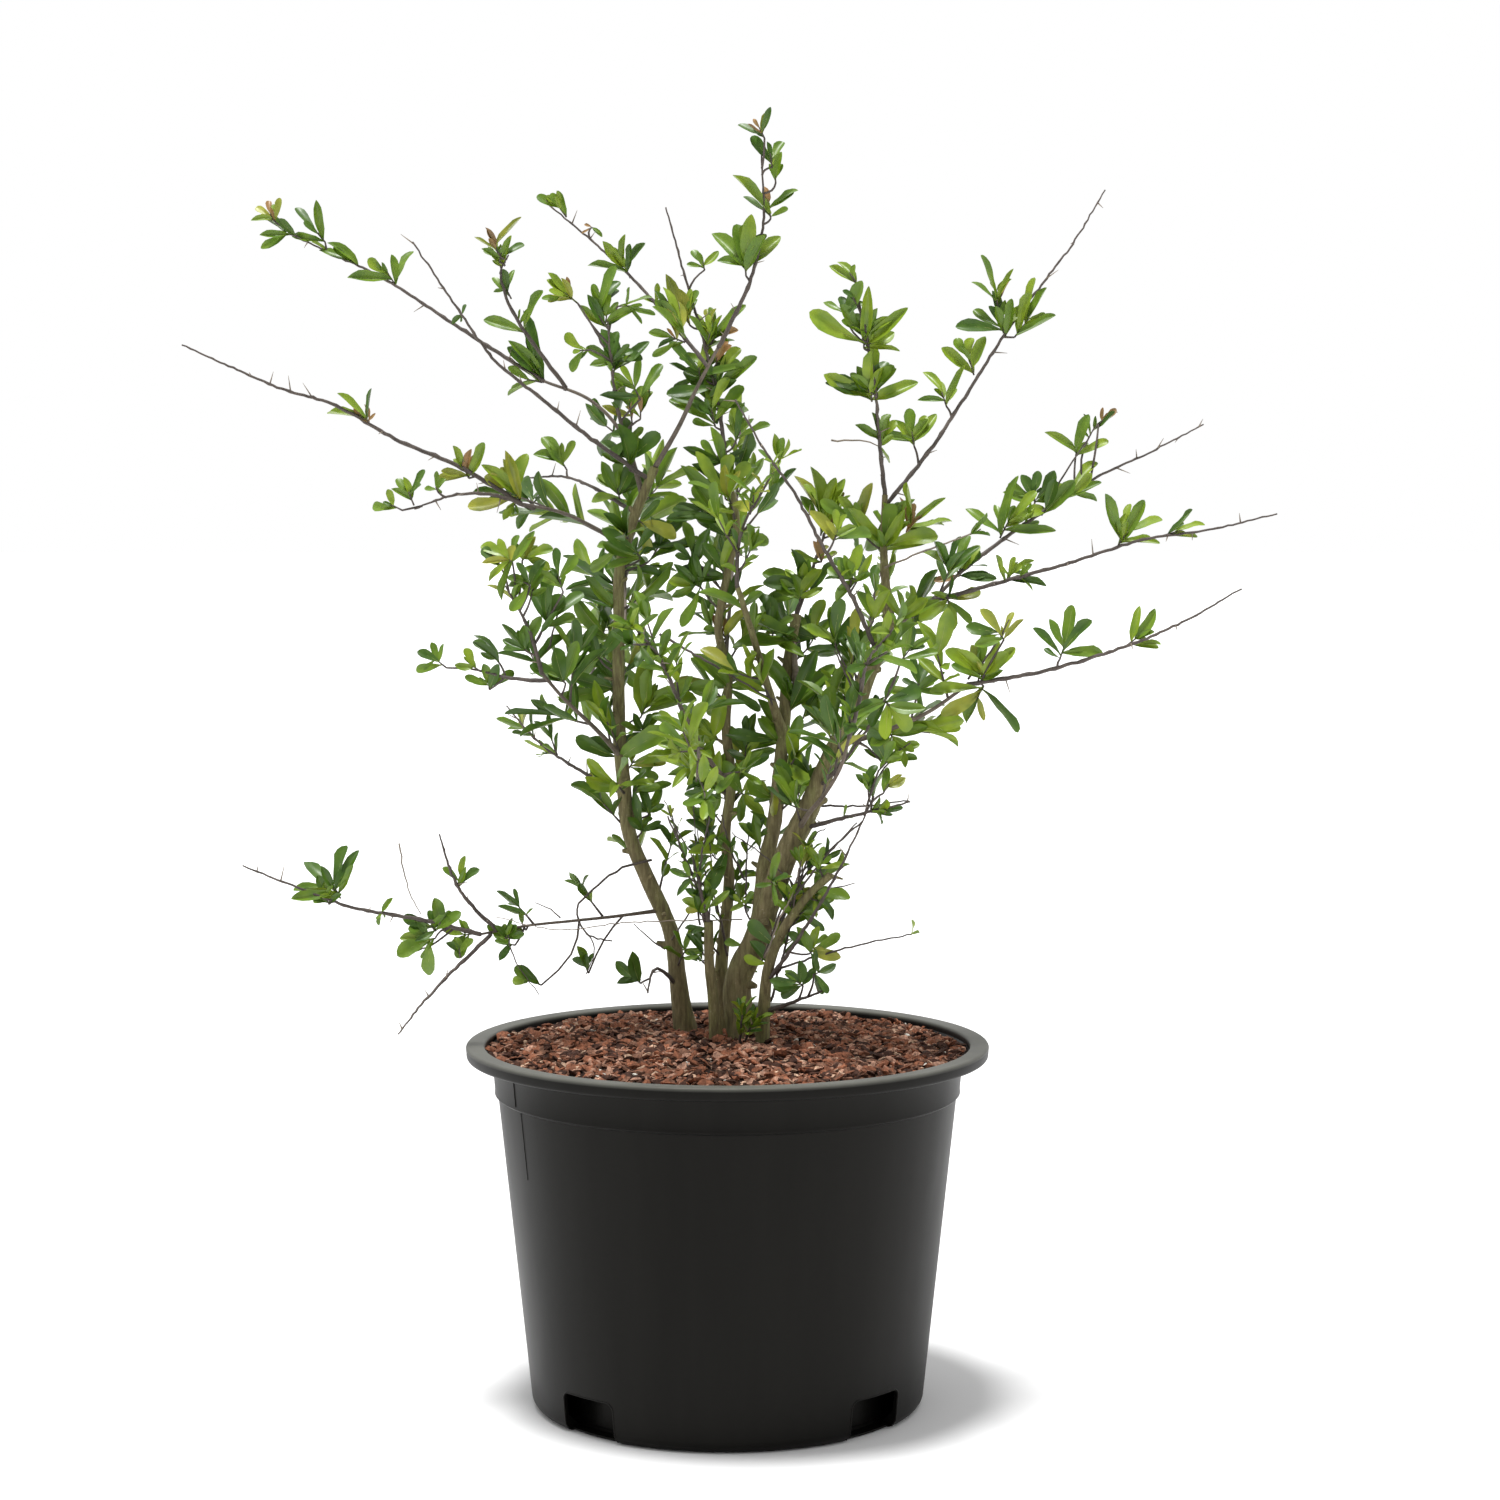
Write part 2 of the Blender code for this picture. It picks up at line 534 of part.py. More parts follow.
def sprig(foot, heading, length, shoot, space, rng, turn):
    """Leaves in pairs along a straight twig, and one at its end."""
    aside = unit(np.cross(heading, (0.31, 0.17, 0.93)))
    other = np.cross(heading, aside)
    leaves = [leaf_on(foot + heading * (length * END_LEAF_AT), heading, aside, rng.uniform(*END_SPREAD),
                      shoot.leaf * rng.uniform(*END_SIZES), rng.normal(0, LEAF_ROLL))]
    for pair in range(shoot.pairs):
        place = foot + heading * length * (PAIRS_FROM + PAIRS_SPAN * pair / max(1, shoot.pairs - 1))
        for half in (0, pi):
            angle = turn + pair * PAIR_TURN + half + rng.normal(0, 0.2)
            outward = aside * cos(angle) + other * sin(angle)
            leaves.append(leaf_on(place, heading, outward, rng.uniform(*PAIR_SPREAD),
                                  shoot.leaf * rng.uniform(*PAIR_SIZES), rng.normal(0, LEAF_ROLL)))
    return [leaf_body(corners) for corners in leaves if space.holds(leaf_outline(corners)[1:])]


def tuft_parts(route, space, share, shoot, rng, turn):
    """One tuft: leaves at the shoot's own end, or on a short spur at its side."""
    centre, along, _ = route.place(share)
    length = shoot.leaf * SPUR_LENGTH
    if share == 1:
        return sprig(centre - along * length, along, length, shoot, space, rng, turn)
    side = unit(np.cross(along, (sin(turn), cos(turn), 0.3)))
    heading = unit(SPUR_ALONG * along + SPUR_ASIDE * side + np.array((0, 0, SPUR_UP)))
    if not space.holds([centre + heading * length * part for part in (0.4, 0.7, 1)]):
        length = shoot.leaf * SPUR_LENGTH_SHORT
    leaves = sprig(centre, heading, length, shoot, space, rng, turn)
    return [tube(twig_route(centre, heading, length), SHOOT_SIDES)] + leaves if leaves else []


def largest_body(obj):
    """Drop loose scraps and sealed hollows, so that one closed body is left."""
    bm = bmesh.new()
    bm.from_mesh(obj.data)
    bm.faces.ensure_lookup_table()
    seen = set()
    bodies = []
    for start in bm.faces:
        if start in seen:
            continue
        body = [start]
        seen.add(start)
        for face in body:
            for edge in face.edges:
                for neighbour in edge.link_faces:
                    if neighbour not in seen:
                        seen.add(neighbour)
                        body.append(neighbour)
        bodies.append(body)
    bodies.sort(key=len)
    for body in bodies[:-1]:
        bmesh.ops.delete(bm, geom=body, context="FACES")
    bmesh.ops.triangulate(bm, faces=bm.faces)
    bm.to_mesh(obj.data)
    bm.free()


def is_closed(mesh):
    """Whether every edge of the mesh has a face on both sides."""
    bm = bmesh.new()
    bm.from_mesh(mesh)
    closed = all(edge.is_manifold for edge in bm.edges)
    bm.free()
    return closed


def join_collection(body, collection):
    """Join the collection's objects to the body, and remove them."""
    join = body.modifiers.new("join", "BOOLEAN")
    join.operation = "UNION"
    join.operand_type = "COLLECTION"
    join.collection = collection
    for solver in ("EXACT", "MANIFOLD"):
        join.solver = solver
        depsgraph = bpy.context.evaluated_depsgraph_get()
        joined = bpy.data.meshes.new_from_object(body.evaluated_get(depsgraph))
        if is_closed(joined):
            break
    body.modifiers.clear()
    body.data = joined
    for piece in list(collection.objects):
        bpy.data.objects.remove(piece)


def build_shoot(shoot, route, space, seed, material):
    """One mass: its stem, spurs and leaves, joined into one body."""
    rng = np.random.default_rng(seed)
    parts = []
    for number, share in enumerate(shoot.tufts):
        parts += tuft_parts(route, space, share, shoot, rng, seed + number * TUFT_TURN)
    body = make_object(shoot.name, tube(route, SHOOT_SIDES), material)
    collection = bpy.data.collections.new(shoot.name + "_parts")
    bpy.context.scene.collection.children.link(collection)
    for part in parts:
        piece = make_object("part", part)
        bpy.context.scene.collection.objects.unlink(piece)
        collection.objects.link(piece)
    if parts:
        join_collection(body, collection)
    bpy.data.collections.remove(collection)
    body.data.materials.clear()
    body.data.materials.append(material)
    largest_body(body)
    return body


def build_shoots(limb_routes, materials):
    """Every leafy shoot, each in its own space."""
    routes = {}
    for seed, shoot in enumerate(SHOOTS):
        foot, facing = spring_from(limb_routes[shoot.on], shoot.at, shoot.tip)
        tip = np.array(shoot.tip)
        if shoot.tufts[-1] == 1:
            tip = tip - unit(tip - foot) * shoot.leaf * END_LEAF_REACH
        route = Route(foot, tip, shoot.bow, SHOOT_FOOT_RADIUS, SHOOT_TIP_RADIUS, SHOOT_STEP, 100 + seed)
        route.foot_normal = facing
        routes[shoot.name] = route
    for seed, shoot in enumerate(SHOOTS):
        space = Space(shoot.name, routes, limb_routes)
        build_shoot(shoot, routes[shoot.name], space, seed, materials[seed % len(materials)])


def main():
    clear_scene()
    plastic = make_material("pot_plastic", (0.030, 0.030, 0.030), 0.45)
    mix = make_material("bark_mix", (0.130, 0.055, 0.035), 0.90)
    bark = make_material("bark", (0.160, 0.120, 0.080), 0.80)
    leaves = [
        make_material("leaf_deep", (0.045, 0.130, 0.015), 0.45),
        make_material("leaf_mid", (0.090, 0.210, 0.020), 0.45),
        make_material("leaf_fresh", (0.160, 0.290, 0.025), 0.45),
    ]
    build_pot(plastic)
    build_mix(mix)
    routes = lay_out_limbs()
    build_limbs(routes, bark)
    build_shoots(routes, leaves)


main()
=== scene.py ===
"""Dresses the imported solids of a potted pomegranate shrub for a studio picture.

The stems and boughs get bark in relief, and each leafy shoot grows on by the
rule of its solid, carried to finer twigs and leaves of true size. The pot gets
its rolled lip, seams and foot notches, and the mix its bark chips. Metres, +Z
up, with the plant's front facing -Y.
"""

import json
from collections import namedtuple
from math import atan2, cos, log, pi, radians, sin, sqrt, tau

import bmesh
import bpy
import numpy as np
from bpy.props import FloatProperty, FloatVectorProperty, IntProperty, PointerProperty
from mathutils import Matrix, Vector, noise

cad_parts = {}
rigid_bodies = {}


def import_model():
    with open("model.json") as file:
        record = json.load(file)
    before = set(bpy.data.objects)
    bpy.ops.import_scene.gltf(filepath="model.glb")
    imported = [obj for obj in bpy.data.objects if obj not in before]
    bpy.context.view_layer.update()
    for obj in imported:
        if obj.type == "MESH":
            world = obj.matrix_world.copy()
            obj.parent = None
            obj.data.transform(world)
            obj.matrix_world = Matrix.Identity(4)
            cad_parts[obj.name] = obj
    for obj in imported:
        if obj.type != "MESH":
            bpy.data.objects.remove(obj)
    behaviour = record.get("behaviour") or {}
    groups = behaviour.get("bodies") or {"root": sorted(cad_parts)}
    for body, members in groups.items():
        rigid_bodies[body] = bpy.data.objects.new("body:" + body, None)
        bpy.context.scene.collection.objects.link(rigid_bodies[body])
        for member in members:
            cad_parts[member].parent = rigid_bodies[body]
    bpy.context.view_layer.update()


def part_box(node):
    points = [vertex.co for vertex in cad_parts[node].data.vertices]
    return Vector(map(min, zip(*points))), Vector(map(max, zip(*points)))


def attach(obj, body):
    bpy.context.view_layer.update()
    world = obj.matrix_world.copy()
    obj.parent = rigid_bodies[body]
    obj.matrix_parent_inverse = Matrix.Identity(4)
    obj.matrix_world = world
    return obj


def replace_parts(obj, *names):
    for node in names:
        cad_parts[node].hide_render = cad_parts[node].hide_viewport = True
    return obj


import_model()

bl_info = {
    "name": "Potted pomegranate shrub",
    "version": (1, 0, 0),
    "blender": (4, 5, 0),
    "location": "3D View > Sidebar > Shrub",
    "description": "Dresses a potted pomegranate shrub with bark, leaves, chips and a moulded pot",
    "category": "Object",
}

POT_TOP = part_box("pot")[1]
MIX_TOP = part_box("potting_mix")[1]
GAP = 0.0003

# Pot, as its solid
POT_HEIGHT = POT_TOP.z
RIM_RADIUS = POT_TOP.x
POT_WALL = 0.0030
BASE_RADIUS = 0.1350
BASE_CORNER = 0.0080
COLLAR_FOOT_Z = 0.2165
COLLAR_FOOT_RADIUS = 0.1600
COLLAR_TOP_RADIUS = 0.1622
COLLAR_STEP = 0.0020
LIP_DEPTH = 0.0095
RIM_INNER_RADIUS = 0.1670
NOTCH_COUNT = 4
NOTCH_WIDTH = 0.046
NOTCH_TOP_Z = 0.028
NOTCH_DEPTH = 0.016
NOTCH_TURN = pi / 4 + 0.035
LINING_RADIUS = 0.1157
SEAM_SHIFT = 0.021

# Moulding of the pot's foot, notches, seams and inner step
BASE_LIFT = 0.0012
FOOT_RING = (0.090, 0.094)
FLOOR_Z = 0.0030
FLOOR_CORNER = 0.009
FLOOR_CORNER_Z = 0.012
NOTCH_CORNER = 0.005
NOTCH_FOOT_Z = -0.004
NOTCH_TRIM = 0.0007
TRIM_FOOT_Z = 0.0015
TRIM_GAP = 0.0005
SEAM_RADIUS = 0.0006
SEAM_FOOT_Z = 0.170
LINING_WALL = 0.0028
LINING_TOP_Z = 0.0300
# Depth of the lighter band at the top of the rim, painted as wear and as a painted highlight.
WEAR_AND_HIGHLIGHT_DEPTH = 0.0030
POT_CREASE = 0.6

# Potting mix, as its solid, and the body of it below the rim
MIX_TOP_Z = MIX_TOP.z
MIX_EDGE_Z = 0.2440
MIX_CROWN_RADIUS = 0.070
MIX_SHELF_Z = 0.032
MIX_FOOT_Z = 0.0035
MIX_FOOT_RADIUS = 0.115
BED_RISE = 0.0025
BED_RINGS = 40
BED_SIDES = 144
CHIP_SIDES = 7
CHIP_SHAPES = 10

# Stems and boughs, as their solids
LIMB_STEP = 0.036
BOUGH_SEED = 50
KINK = 0.007
FLARE = 0.35
FLARE_HEIGHT = 0.018

# Limbs in the scene: how they meet their parents, how many fewer faces round a bough
# has than a stem, and their stubs of old twigs
STEM_SINK = 0.006
BRANCH_SWELL = 0.5
BRANCH_LENGTH = 0.012
THIN_SEED = 60
THIN_FEWER = 12
STOUT_FEWER = 8
STUB_FOOT_Z = 0.015
STUB_SIZES = (0.22, 0.42)
STUB_REACHES = (0.001, 0.007)
BARK_CREASE = 1.0

# Leafy shoots, as their solids
SHOOT_STEP = 0.045
SHOOT_SEED = 100
SHOOT_FOOT_RADIUS = 0.0017
SHOOT_TIP_RADIUS = 0.0008
SPUR_RADIUS = 0.0010
SPUR_SHARE = 0.45
SPUR_ALONG = 0.55
SPUR_ASIDE = 0.65
SPUR_UP = 0.55
TUFT_TURN = pi * (3 - sqrt(5))
LEAF_WIDTH = 0.40
LEAF_WIDEST = 0.58
END_LEAF_REACH = 0.9
LEAF_LIFT = 0.25
FACE_LIFT = 0.4
LEAF_ROLL = 0.5
ROOT_SINK = 0.4
SPACE_STEP = 0.004
LIMB_MARGIN = 0.0008
POT_MARGIN = 0.0040

# Whorls and sprays: lengths and radii are shares of their twig's or leaf's own,
# and a spread is the angle between a leaf and its twig.
LEAF_LENGTHS = (0.62, 1.12)
WHORL_WANDER = 0.25
WHORL_SPREADS = (0.45, 1.05)
PAIR_SPREADS = (0.6, 1.2)
END_SPREADS = (0.2, 0.8)
PAIR_LEAF = 0.75
PAIR_SWELL = 0.3
END_LEAF = 0.95
SPRAY_BEND = 0.10
SPRAY_TAPER = 0.55
OWN_KIND = 0.65
NODE_LEAF = 0.50
SHAPED_LEAFY = 0.4
LIMB_YOUTH = 0.15
TWIG_YOUTH = 0.3
LIMB_SPRAYS = (0.010, 0.034)
BARE_LEAF = 0.6
SPRAY_WAYS = (0.55, 1.5, 0.55)
SPRAY_LIFT = 0.45
HEIGHT_SCATTER = 0.02
YOUTH_GAIN = 1.3
YOUTH_START = 0.35
TIP_SPRAY = 1.5
SECOND_LENGTHS = (0.4, 0.8)
SECOND_LIFT = 0.7
SECOND_LEAF = 0.85
TUFT_LEAF = 0.75
FINE_LEAFY = (0.15, 1.0)
SHOOT_GROWTH_SEED = 1000
FAN_SEED = 900
FINE_TWIG_SEED = 700
LIMB_SPRAY_SEED = 500

# Knots and thorns on the twigs
SHOOT_RINGS = 0.0035
TWIG_RINGS = 0.004
STEM_TAPER = 0.30
KNOT_SWELL = 0.28
KNOT_WIDTH = 0.09
STEM_WANDER = 0.00022
TWIG_WANDER = 0.0003
THORN_LIFT = 0.5
THORN_LENGTHS = (0.006, 0.013)
THORN_RADII = (0.0006, 0.0004, 0.00015)

# Fans of leaves seen from the front; a breadth is a share of the leaf's length.
TWIG_LEAST = 0.003
TWIG_LEAN = 0.8
TWIG_BEND = 0.10
TWIG_DEPTH = 0.3
TWIG_RADII = (0.0009, 0.0007)
FAN_SCATTER = 8.0
FAN_LENGTHS = (0.66, 1.30)
FAN_WIDTHS = (0.75, 1.20)
SPUR_REACH = 0.52
SPUR_WANDER = 0.001
SPUR_RADII = (0.0007, 0.0006, 0.0004)
WIDTH_STEP = 0.066
BROADEST = 0.44
FULL_SIZE = 1.06
BRONZE_SIZE = 0.70
SMALL_LENGTHS = (0.35, 0.65)
SMALL_BREADTHS = (0.24, 0.36)
SMALL_WANDER = 0.0028
LEAF_TRIES = 5
LEAN = 0.45
MORE_LEAN = 0.4
TRUE_BREADTHS = (0.21, 0.29)
FRONTAL = (0.25, 0.96)
FACING_WANDER = (-0.12, 0.05)
LONGEST_STRETCH = 1.25

# The plant's tables give lengths in millimetres. A stem stands on the mix. A bough
# or a shoot springs from the limb it is on, at a share of that limb's length (1 is
# its tip). Each runs straight to its tip, but for small kinks and the bow that
# carries it aside, furthest at the share called peak. A shoot bears tufts of leaves
# at shares of its own length; where TUFTS has rows for it, only the last is given.
Stem = namedtuple("Stem", "name foot tip bow peak foot_radius tip_radius")
Bough = namedtuple("Bough", "name on at tip bow foot_radius tip_radius")
Shoot = namedtuple("Shoot", "name on at tip bow tufts leaf")

STEMS = (
    Stem("stem_west", (-30, 48), (-50, 30, 646), (-37, 0, 0), 0.61, 6.2, 3.2),
    Stem("stem_centre", (-2, 34), (0, 20, 642), (2, 0, 0), 0.50, 4.6, 2.2),
    Stem("trunk_east", (11, 16), (115, -30, 540), (-15, 0, 3), 0.35, 9.5, 5.6),
    Stem("stem_short", (-8, 6), (-13, -4, 335), (0, 0, 0), 0.50, 3.8, 3.2),
    Stem("stem_stub", (24, -8), (70, -30, 370), (-10, 0, 19), 0.40, 4, 2.6),
)

BOUGHS = (
    Bough("limb_middle", "trunk_east", 0.27, (48, 40, 544), (0, 0, 0), 6, 3.4),
    Bough("bough_top", "stem_west", 1, (-6, 0, 727), (0, 0, -1), 3, 1.8),
    Bough("bough_west_high", "stem_west", 0.95, (-128, 60, 706), (11, 0, 16), 2.6, 1.7),
    Bough("bough_west", "stem_west", 0.86, (-140, 0, 621), (2, 0, 4), 2.6, 1.7),
    Bough("bough_west_low", "stem_west", 0.49, (-125, -30, 507), (-2, 0, 0), 2.8, 1.8),
    Bough("bough_west_foot", "stem_west", 0.215, (-169, -10, 327), (-3, 0, 0), 2, 1.4),
    Bough("bough_east_up", "trunk_east", 0.97, (107, -10, 627), (-3, 0, 0), 3.6, 2),
    Bough("bough_east_out", "trunk_east", 1, (157, -15, 574), (2, 0, -2), 2.8, 1.8),
    Bough("bough_east_low", "trunk_east", 0.70, (160, -70, 502), (3, 0, -5), 3.2, 1.8),
    Bough("bough_middle_west", "limb_middle", 0.62, (7, -20, 565), (0, 0, 0), 3, 1.8),
    Bough("bough_front", "stem_centre", 0.45, (-30, -60, 485), (0, 0, -6), 2.8, 1.7),
    Bough("bough_front_east", "trunk_east", 0.50, (80, -115, 470), (0, 0, -6), 3, 1.8),
    Bough("bough_back", "stem_centre", 0.66, (4, 115, 590), (0, 0, -6), 2.6, 1.7),
    Bough("bough_back_west", "stem_west", 0.62, (-75, 140, 565), (0, 0, -6), 2.8, 1.7),
    Bough("bough_back_east", "trunk_east", 0.58, (98, 95, 500), (0, 0, -6), 3, 1.8),
)

SHOOTS = (
    Shoot("shoot_top", "bough_top", 1, (30, -20, 884), (12, 0, -2), (1,), 34),
    Shoot("shoot_top_west", "bough_top", 0.85, (-144, 70, 848), (4, 0, 1), (1,), 34),
    Shoot("shoot_west_inner", "bough_west_high", 0.30, (-84, -50, 775), (-2, 0, 0), (1,), 45),
    Shoot("shoot_west_high", "bough_west_high", 1, (-338, 100, 827), (-4, 0, 11), (1,), 36),
    Shoot("shoot_west_tuft", "bough_west_high", 0.85, (-160, 20, 815), (-23, 0, 18), (1,), 30),
    Shoot("shoot_west_bare", "stem_west", 0.98, (-209, -40, 795), (-11, 0, -11), (0.74,), 28),
    Shoot("shoot_west_side", "stem_west", 0.92, (-146, 120, 639), (2, 0, 10), (0.90,), 46),
    Shoot("shoot_west", "bough_west", 1, (-360, -60, 726), (-11, 0, 11), (0.41,), 34),
    Shoot("shoot_west_droop", "bough_west", 0.90, (-228, -60, 618), (0, 0, 10), (1,), 26),
    Shoot("shoot_west_rise", "bough_west_low", 1, (-161, -80, 605), (4, 0, 0), (1,), 50),
    Shoot("shoot_west_level", "bough_west_low", 0.92, (-220, -10, 518), (0, 0, -3), (1,), 42),
    Shoot("shoot_west_thin", "stem_west", 0.43, (-157, 80, 478), (-4, 0, -6), (0.50, 0.72), 28),
    Shoot("shoot_foot_west", "bough_west_foot", 1, (-324, -60, 380), (-4, 0, -5), (0.58,), 30),
    Shoot("shoot_foot_rise", "bough_west_foot", 0.92, (-193, -50, 400), (-9, 0, 0), (0.51,), 30),
    Shoot("shoot_foot_droop", "bough_west_foot", 0.95, (-221, -60, 266), (-5, 0, -2), (0.23,), 28),
    Shoot("shoot_centre", "stem_centre", 1, (-43, 60, 826), (5, 0, 0), (0.72,), 38),
    Shoot("shoot_east_tall", "bough_east_up", 1, (87, -50, 778), (2, 0, 0), (1,), 46),
    Shoot("shoot_east_lean", "bough_east_up", 0.95, (262, 60, 838), (1, 0, 1), (0.53,), 34),
    Shoot("shoot_east_tuft", "trunk_east", 0.62, (128, -130, 535), (0, 0, -8), (1,), 50),
    Shoot("shoot_east_out", "bough_east_out", 1, (332, 60, 676), (-4, 0, 5), (0.55,), 42),
    Shoot("shoot_east_far", "bough_east_out", 0.55, (359, -100, 615), (2, 0, 4), (0.70,), 36),
    Shoot("shoot_east_low", "bough_east_low", 1, (332, -130, 567), (6, 0, -12), (0.55,), 38),
    Shoot("shoot_inner_rise", "trunk_east", 0.93, (6, -130, 688), (3, 0, 2), (0.80,), 34),
    Shoot("shoot_middle_west", "bough_middle_west", 1, (32, -80, 665), (-6, 0, 2),
          (0.12, 0.34, 0.56, 0.78, 1), 50),
    Shoot("shoot_middle", "limb_middle", 1, (90, 70, 665), (1, 0, 0), (1,), 48),
    Shoot("shoot_east_whip", "stem_stub", 0.25, (113, -70, 454), (1, 0, -7), (1,), 36),
    Shoot("shoot_east_thin", "trunk_east", 0.52, (123, -50, 422), (0, 0, 0), (0.60,), 22),
    Shoot("shoot_short", "stem_short", 1, (-32, -22, 412), (0, 0, 0), (1,), 34),
    Shoot("shoot_foot_left", "stem_west", 0.085, (-69, -12, 280), (-4, 0, 13), (1,), 30),
    Shoot("shoot_foot_right", "stem_stub", 0.12, (92, -55, 305), (0, 0, 0), (1,), 36),
    Shoot("shoot_back_west", "bough_back_west", 1, (-58, 275, 660), (0, 0, 10), (0.04, 0.35, 0.68, 1), 54),
    Shoot("shoot_back_low", "bough_back_west", 0.60, (-110, 210, 480), (0, 0, 10),
          (0.15, 0.45, 0.75, 1), 54),
    Shoot("shoot_back", "bough_back", 1, (10, 250, 700), (0, 0, 8), (0.04, 0.35, 0.68, 1), 52),
    Shoot("shoot_back_east", "bough_back_east", 1, (120, 245, 600), (0, 0, 10), (0.04, 0.35, 0.68, 1), 54),
    Shoot("shoot_front", "bough_front", 1, (-65, -210, 560), (0, 0, 10), (0.04, 0.28, 0.52, 0.76, 1), 52),
    Shoot("shoot_front_low", "bough_front", 0.60, (-20, -195, 440), (0, 0, 10), (0.15, 0.45, 0.75, 1), 54),
    Shoot("shoot_front_east", "bough_front_east", 1, (100, -250, 560), (0, 0, 8), (0.04, 0.35, 0.68, 1), 52),
)

# The leaves are small on these shoots.
LIGHT_SHOOTS = ("shoot_front", "shoot_front_low", "shoot_front_east", "shoot_middle_west", "shoot_back",
                "shoot_back_east")

# A fine twig runs through the places given, and bears so many whorls of leaves, each
# leaf so long. Dry ones are pale.
FineTwig = namedtuple("FineTwig", "places radius leaves leaf dry", defaults=(0, 0, False))

FINE_TWIGS = (
    (((-53, 35, 373), (-74, 30, 368), (-91, 25, 356), (-104, 20, 342), (-101, 20, 327),
      (-91, 20, 320), (-80, 20, 318)), 1),
    (((10, 20, 333), (-61, -5, 335), (-116, -10, 330), (-158, -10, 339)), 0.5, 0, 0, True),
    (((-46, 0, 532), (-10, -10, 512), (33, 0, 486)), 1.1),
    (((36, -20, 305), (84, -30, 321), (125, -40, 331)), 0.9, 1, 18),
    (((8, -12, 250), (9, -20, 260), (11, -23, 276)), 1.2, 8, 16),
    (((12, -12, 252), (15, -20, 262), (21, -22, 274)), 1, 6, 14),
    (((48, 30, 485), (47, 30, 505), (46, 30, 525)), 3, 0, 0, True),
    (((-14, 4, 335), (-24, 0, 366), (-41, -10, 408)), 1.1, 3, 14),
    (((-16, -4, 335), (-19, -10, 372), (-11, -20, 412)), 1, 3, 14),
    (((0, 30, 306), (-8, 10, 345), (-26, 0, 372)), 1, 4, 15),
    (((26, 0, 300), (50, -10, 363), (92, -20, 406)), 1.1, 3, 20),
    (((24, -4, 285), (43, -20, 339), (79, -30, 376)), 1, 3, 20),
    (((30, -8, 280), (42, -20, 330), (50, -30, 380)), 1, 4, 20),
    (((-150, -8, 326), (-146, -4, 308), (-130, 0, 284)), 0.6),
    (((-222, -35, 392), (-217, -30, 363), (-208, -30, 343)), 0.6, 0, 0, True),
    (((-102, 10, 332), (-92, 6, 315), (-98, 4, 297)), 0.6),
    (((160, -68, 505), (176, -78, 526), (186, -88, 546)), 0.8),
    (((222, 18, 626), (237, 18, 650), (246, 18, 664), (254, 18, 676)), 0.7),
    (((106, -28, 578), (133, -40, 590), (152, -50, 597), (170, -50, 604)), 0.8, 1, 18, True),
    (((70, 0, 664), (90, 0, 664), (103, 0, 660)), 0.7, 1, 18, True),
    (((-19, 30, 328), (-26, 30, 360), (-35, 30, 391), (-41, 30, 411)), 0.8, 3, 12),
    (((-15, 30, 328), (-20, 35, 366), (-21, 40, 399)), 0.7, 3, 12),
    (((-10, 30, 342), (-16, 30, 372), (-14, 30, 402)), 0.6, 3, 14),
    (((12, 20, 361), (2, 10, 383), (-4, 0, 408)), 0.9, 2, 16),
    (((13, 20, 343), (13, 20, 375), (15, 20, 396)), 0.8, 2, 16),
    (((33, 0, 329), (43, 0, 349), (54, 0, 372), (68, 0, 376)), 0.9, 3, 14),
    (((24, -10, 309), (38, -20, 348), (50, -20, 371), (54, -20, 390)), 0.8, 3, 14),
    (((95, -40, 422), (106, -40, 444), (123, -40, 461)), 0.8),
    (((-123, 0, 521), (-117, 0, 542), (-113, 0, 561)), 0.8),
    (((85, -20, 495), (79, -20, 509), (73, -20, 522)), 0.9),
    (((-82, -40, 725), (-90, -40, 740), (-99, -40, 755)), 0.8),
    (((90, -40, 737), (89, -40, 753), (87, -40, 768)), 0.8),
    (((59, 0, 415), (91, -10, 415), (124, -20, 420)), 0.9),
    (((-21, 30, 346), (-22, 30, 381), (-24, 30, 417)), 0.6, 1, 10),
    (((-9, 20, 347), (-12, 20, 382), (-16, 20, 415)), 0.6, 1, 10),
    (((-26, 20, 380), (-36, 20, 398), (-44, 20, 417)), 0.6, 2, 10),
    (((48, -20, 359), (26, -20, 381), (3, -20, 398)), 0.7),
    (((46, -30, 356), (67, -30, 383), (88, -30, 406)), 0.9),
    (((25, -30, 313), (37, -30, 343), (44, -30, 357), (49, -30, 375)), 0.7, 1, 12, True),
    (((71, -30, 361), (80, -30, 363), (87, -30, 365)), 0.6),
    (((-44, 30, 311), (-54, 30, 318), (-66, 30, 329)), 0.7),
    (((-39, 20, 319), (-26, 20, 340), (-18, 20, 358), (-11, 20, 362)), 0.7, 2, 10),
    (((44, -20, 348), (54, -20, 378), (60, -20, 396), (67, -20, 401)), 0.7, 2, 12),
    (((-115, 0, 337), (-123, 0, 344), (-132, 0, 347)), 0.6),
)

# The tufts seen from the front, by the limb or shoot that bears them: the share of
# that limb, how far the tuft stands off to the right and up, a letter for the kind of
# each leaf of its fan, the angles of the first and the last leaf in degrees, and how
# long and how wide they are, the width in steps.
Tuft = namedtuple("Tuft", "at right up kinds first last length width")

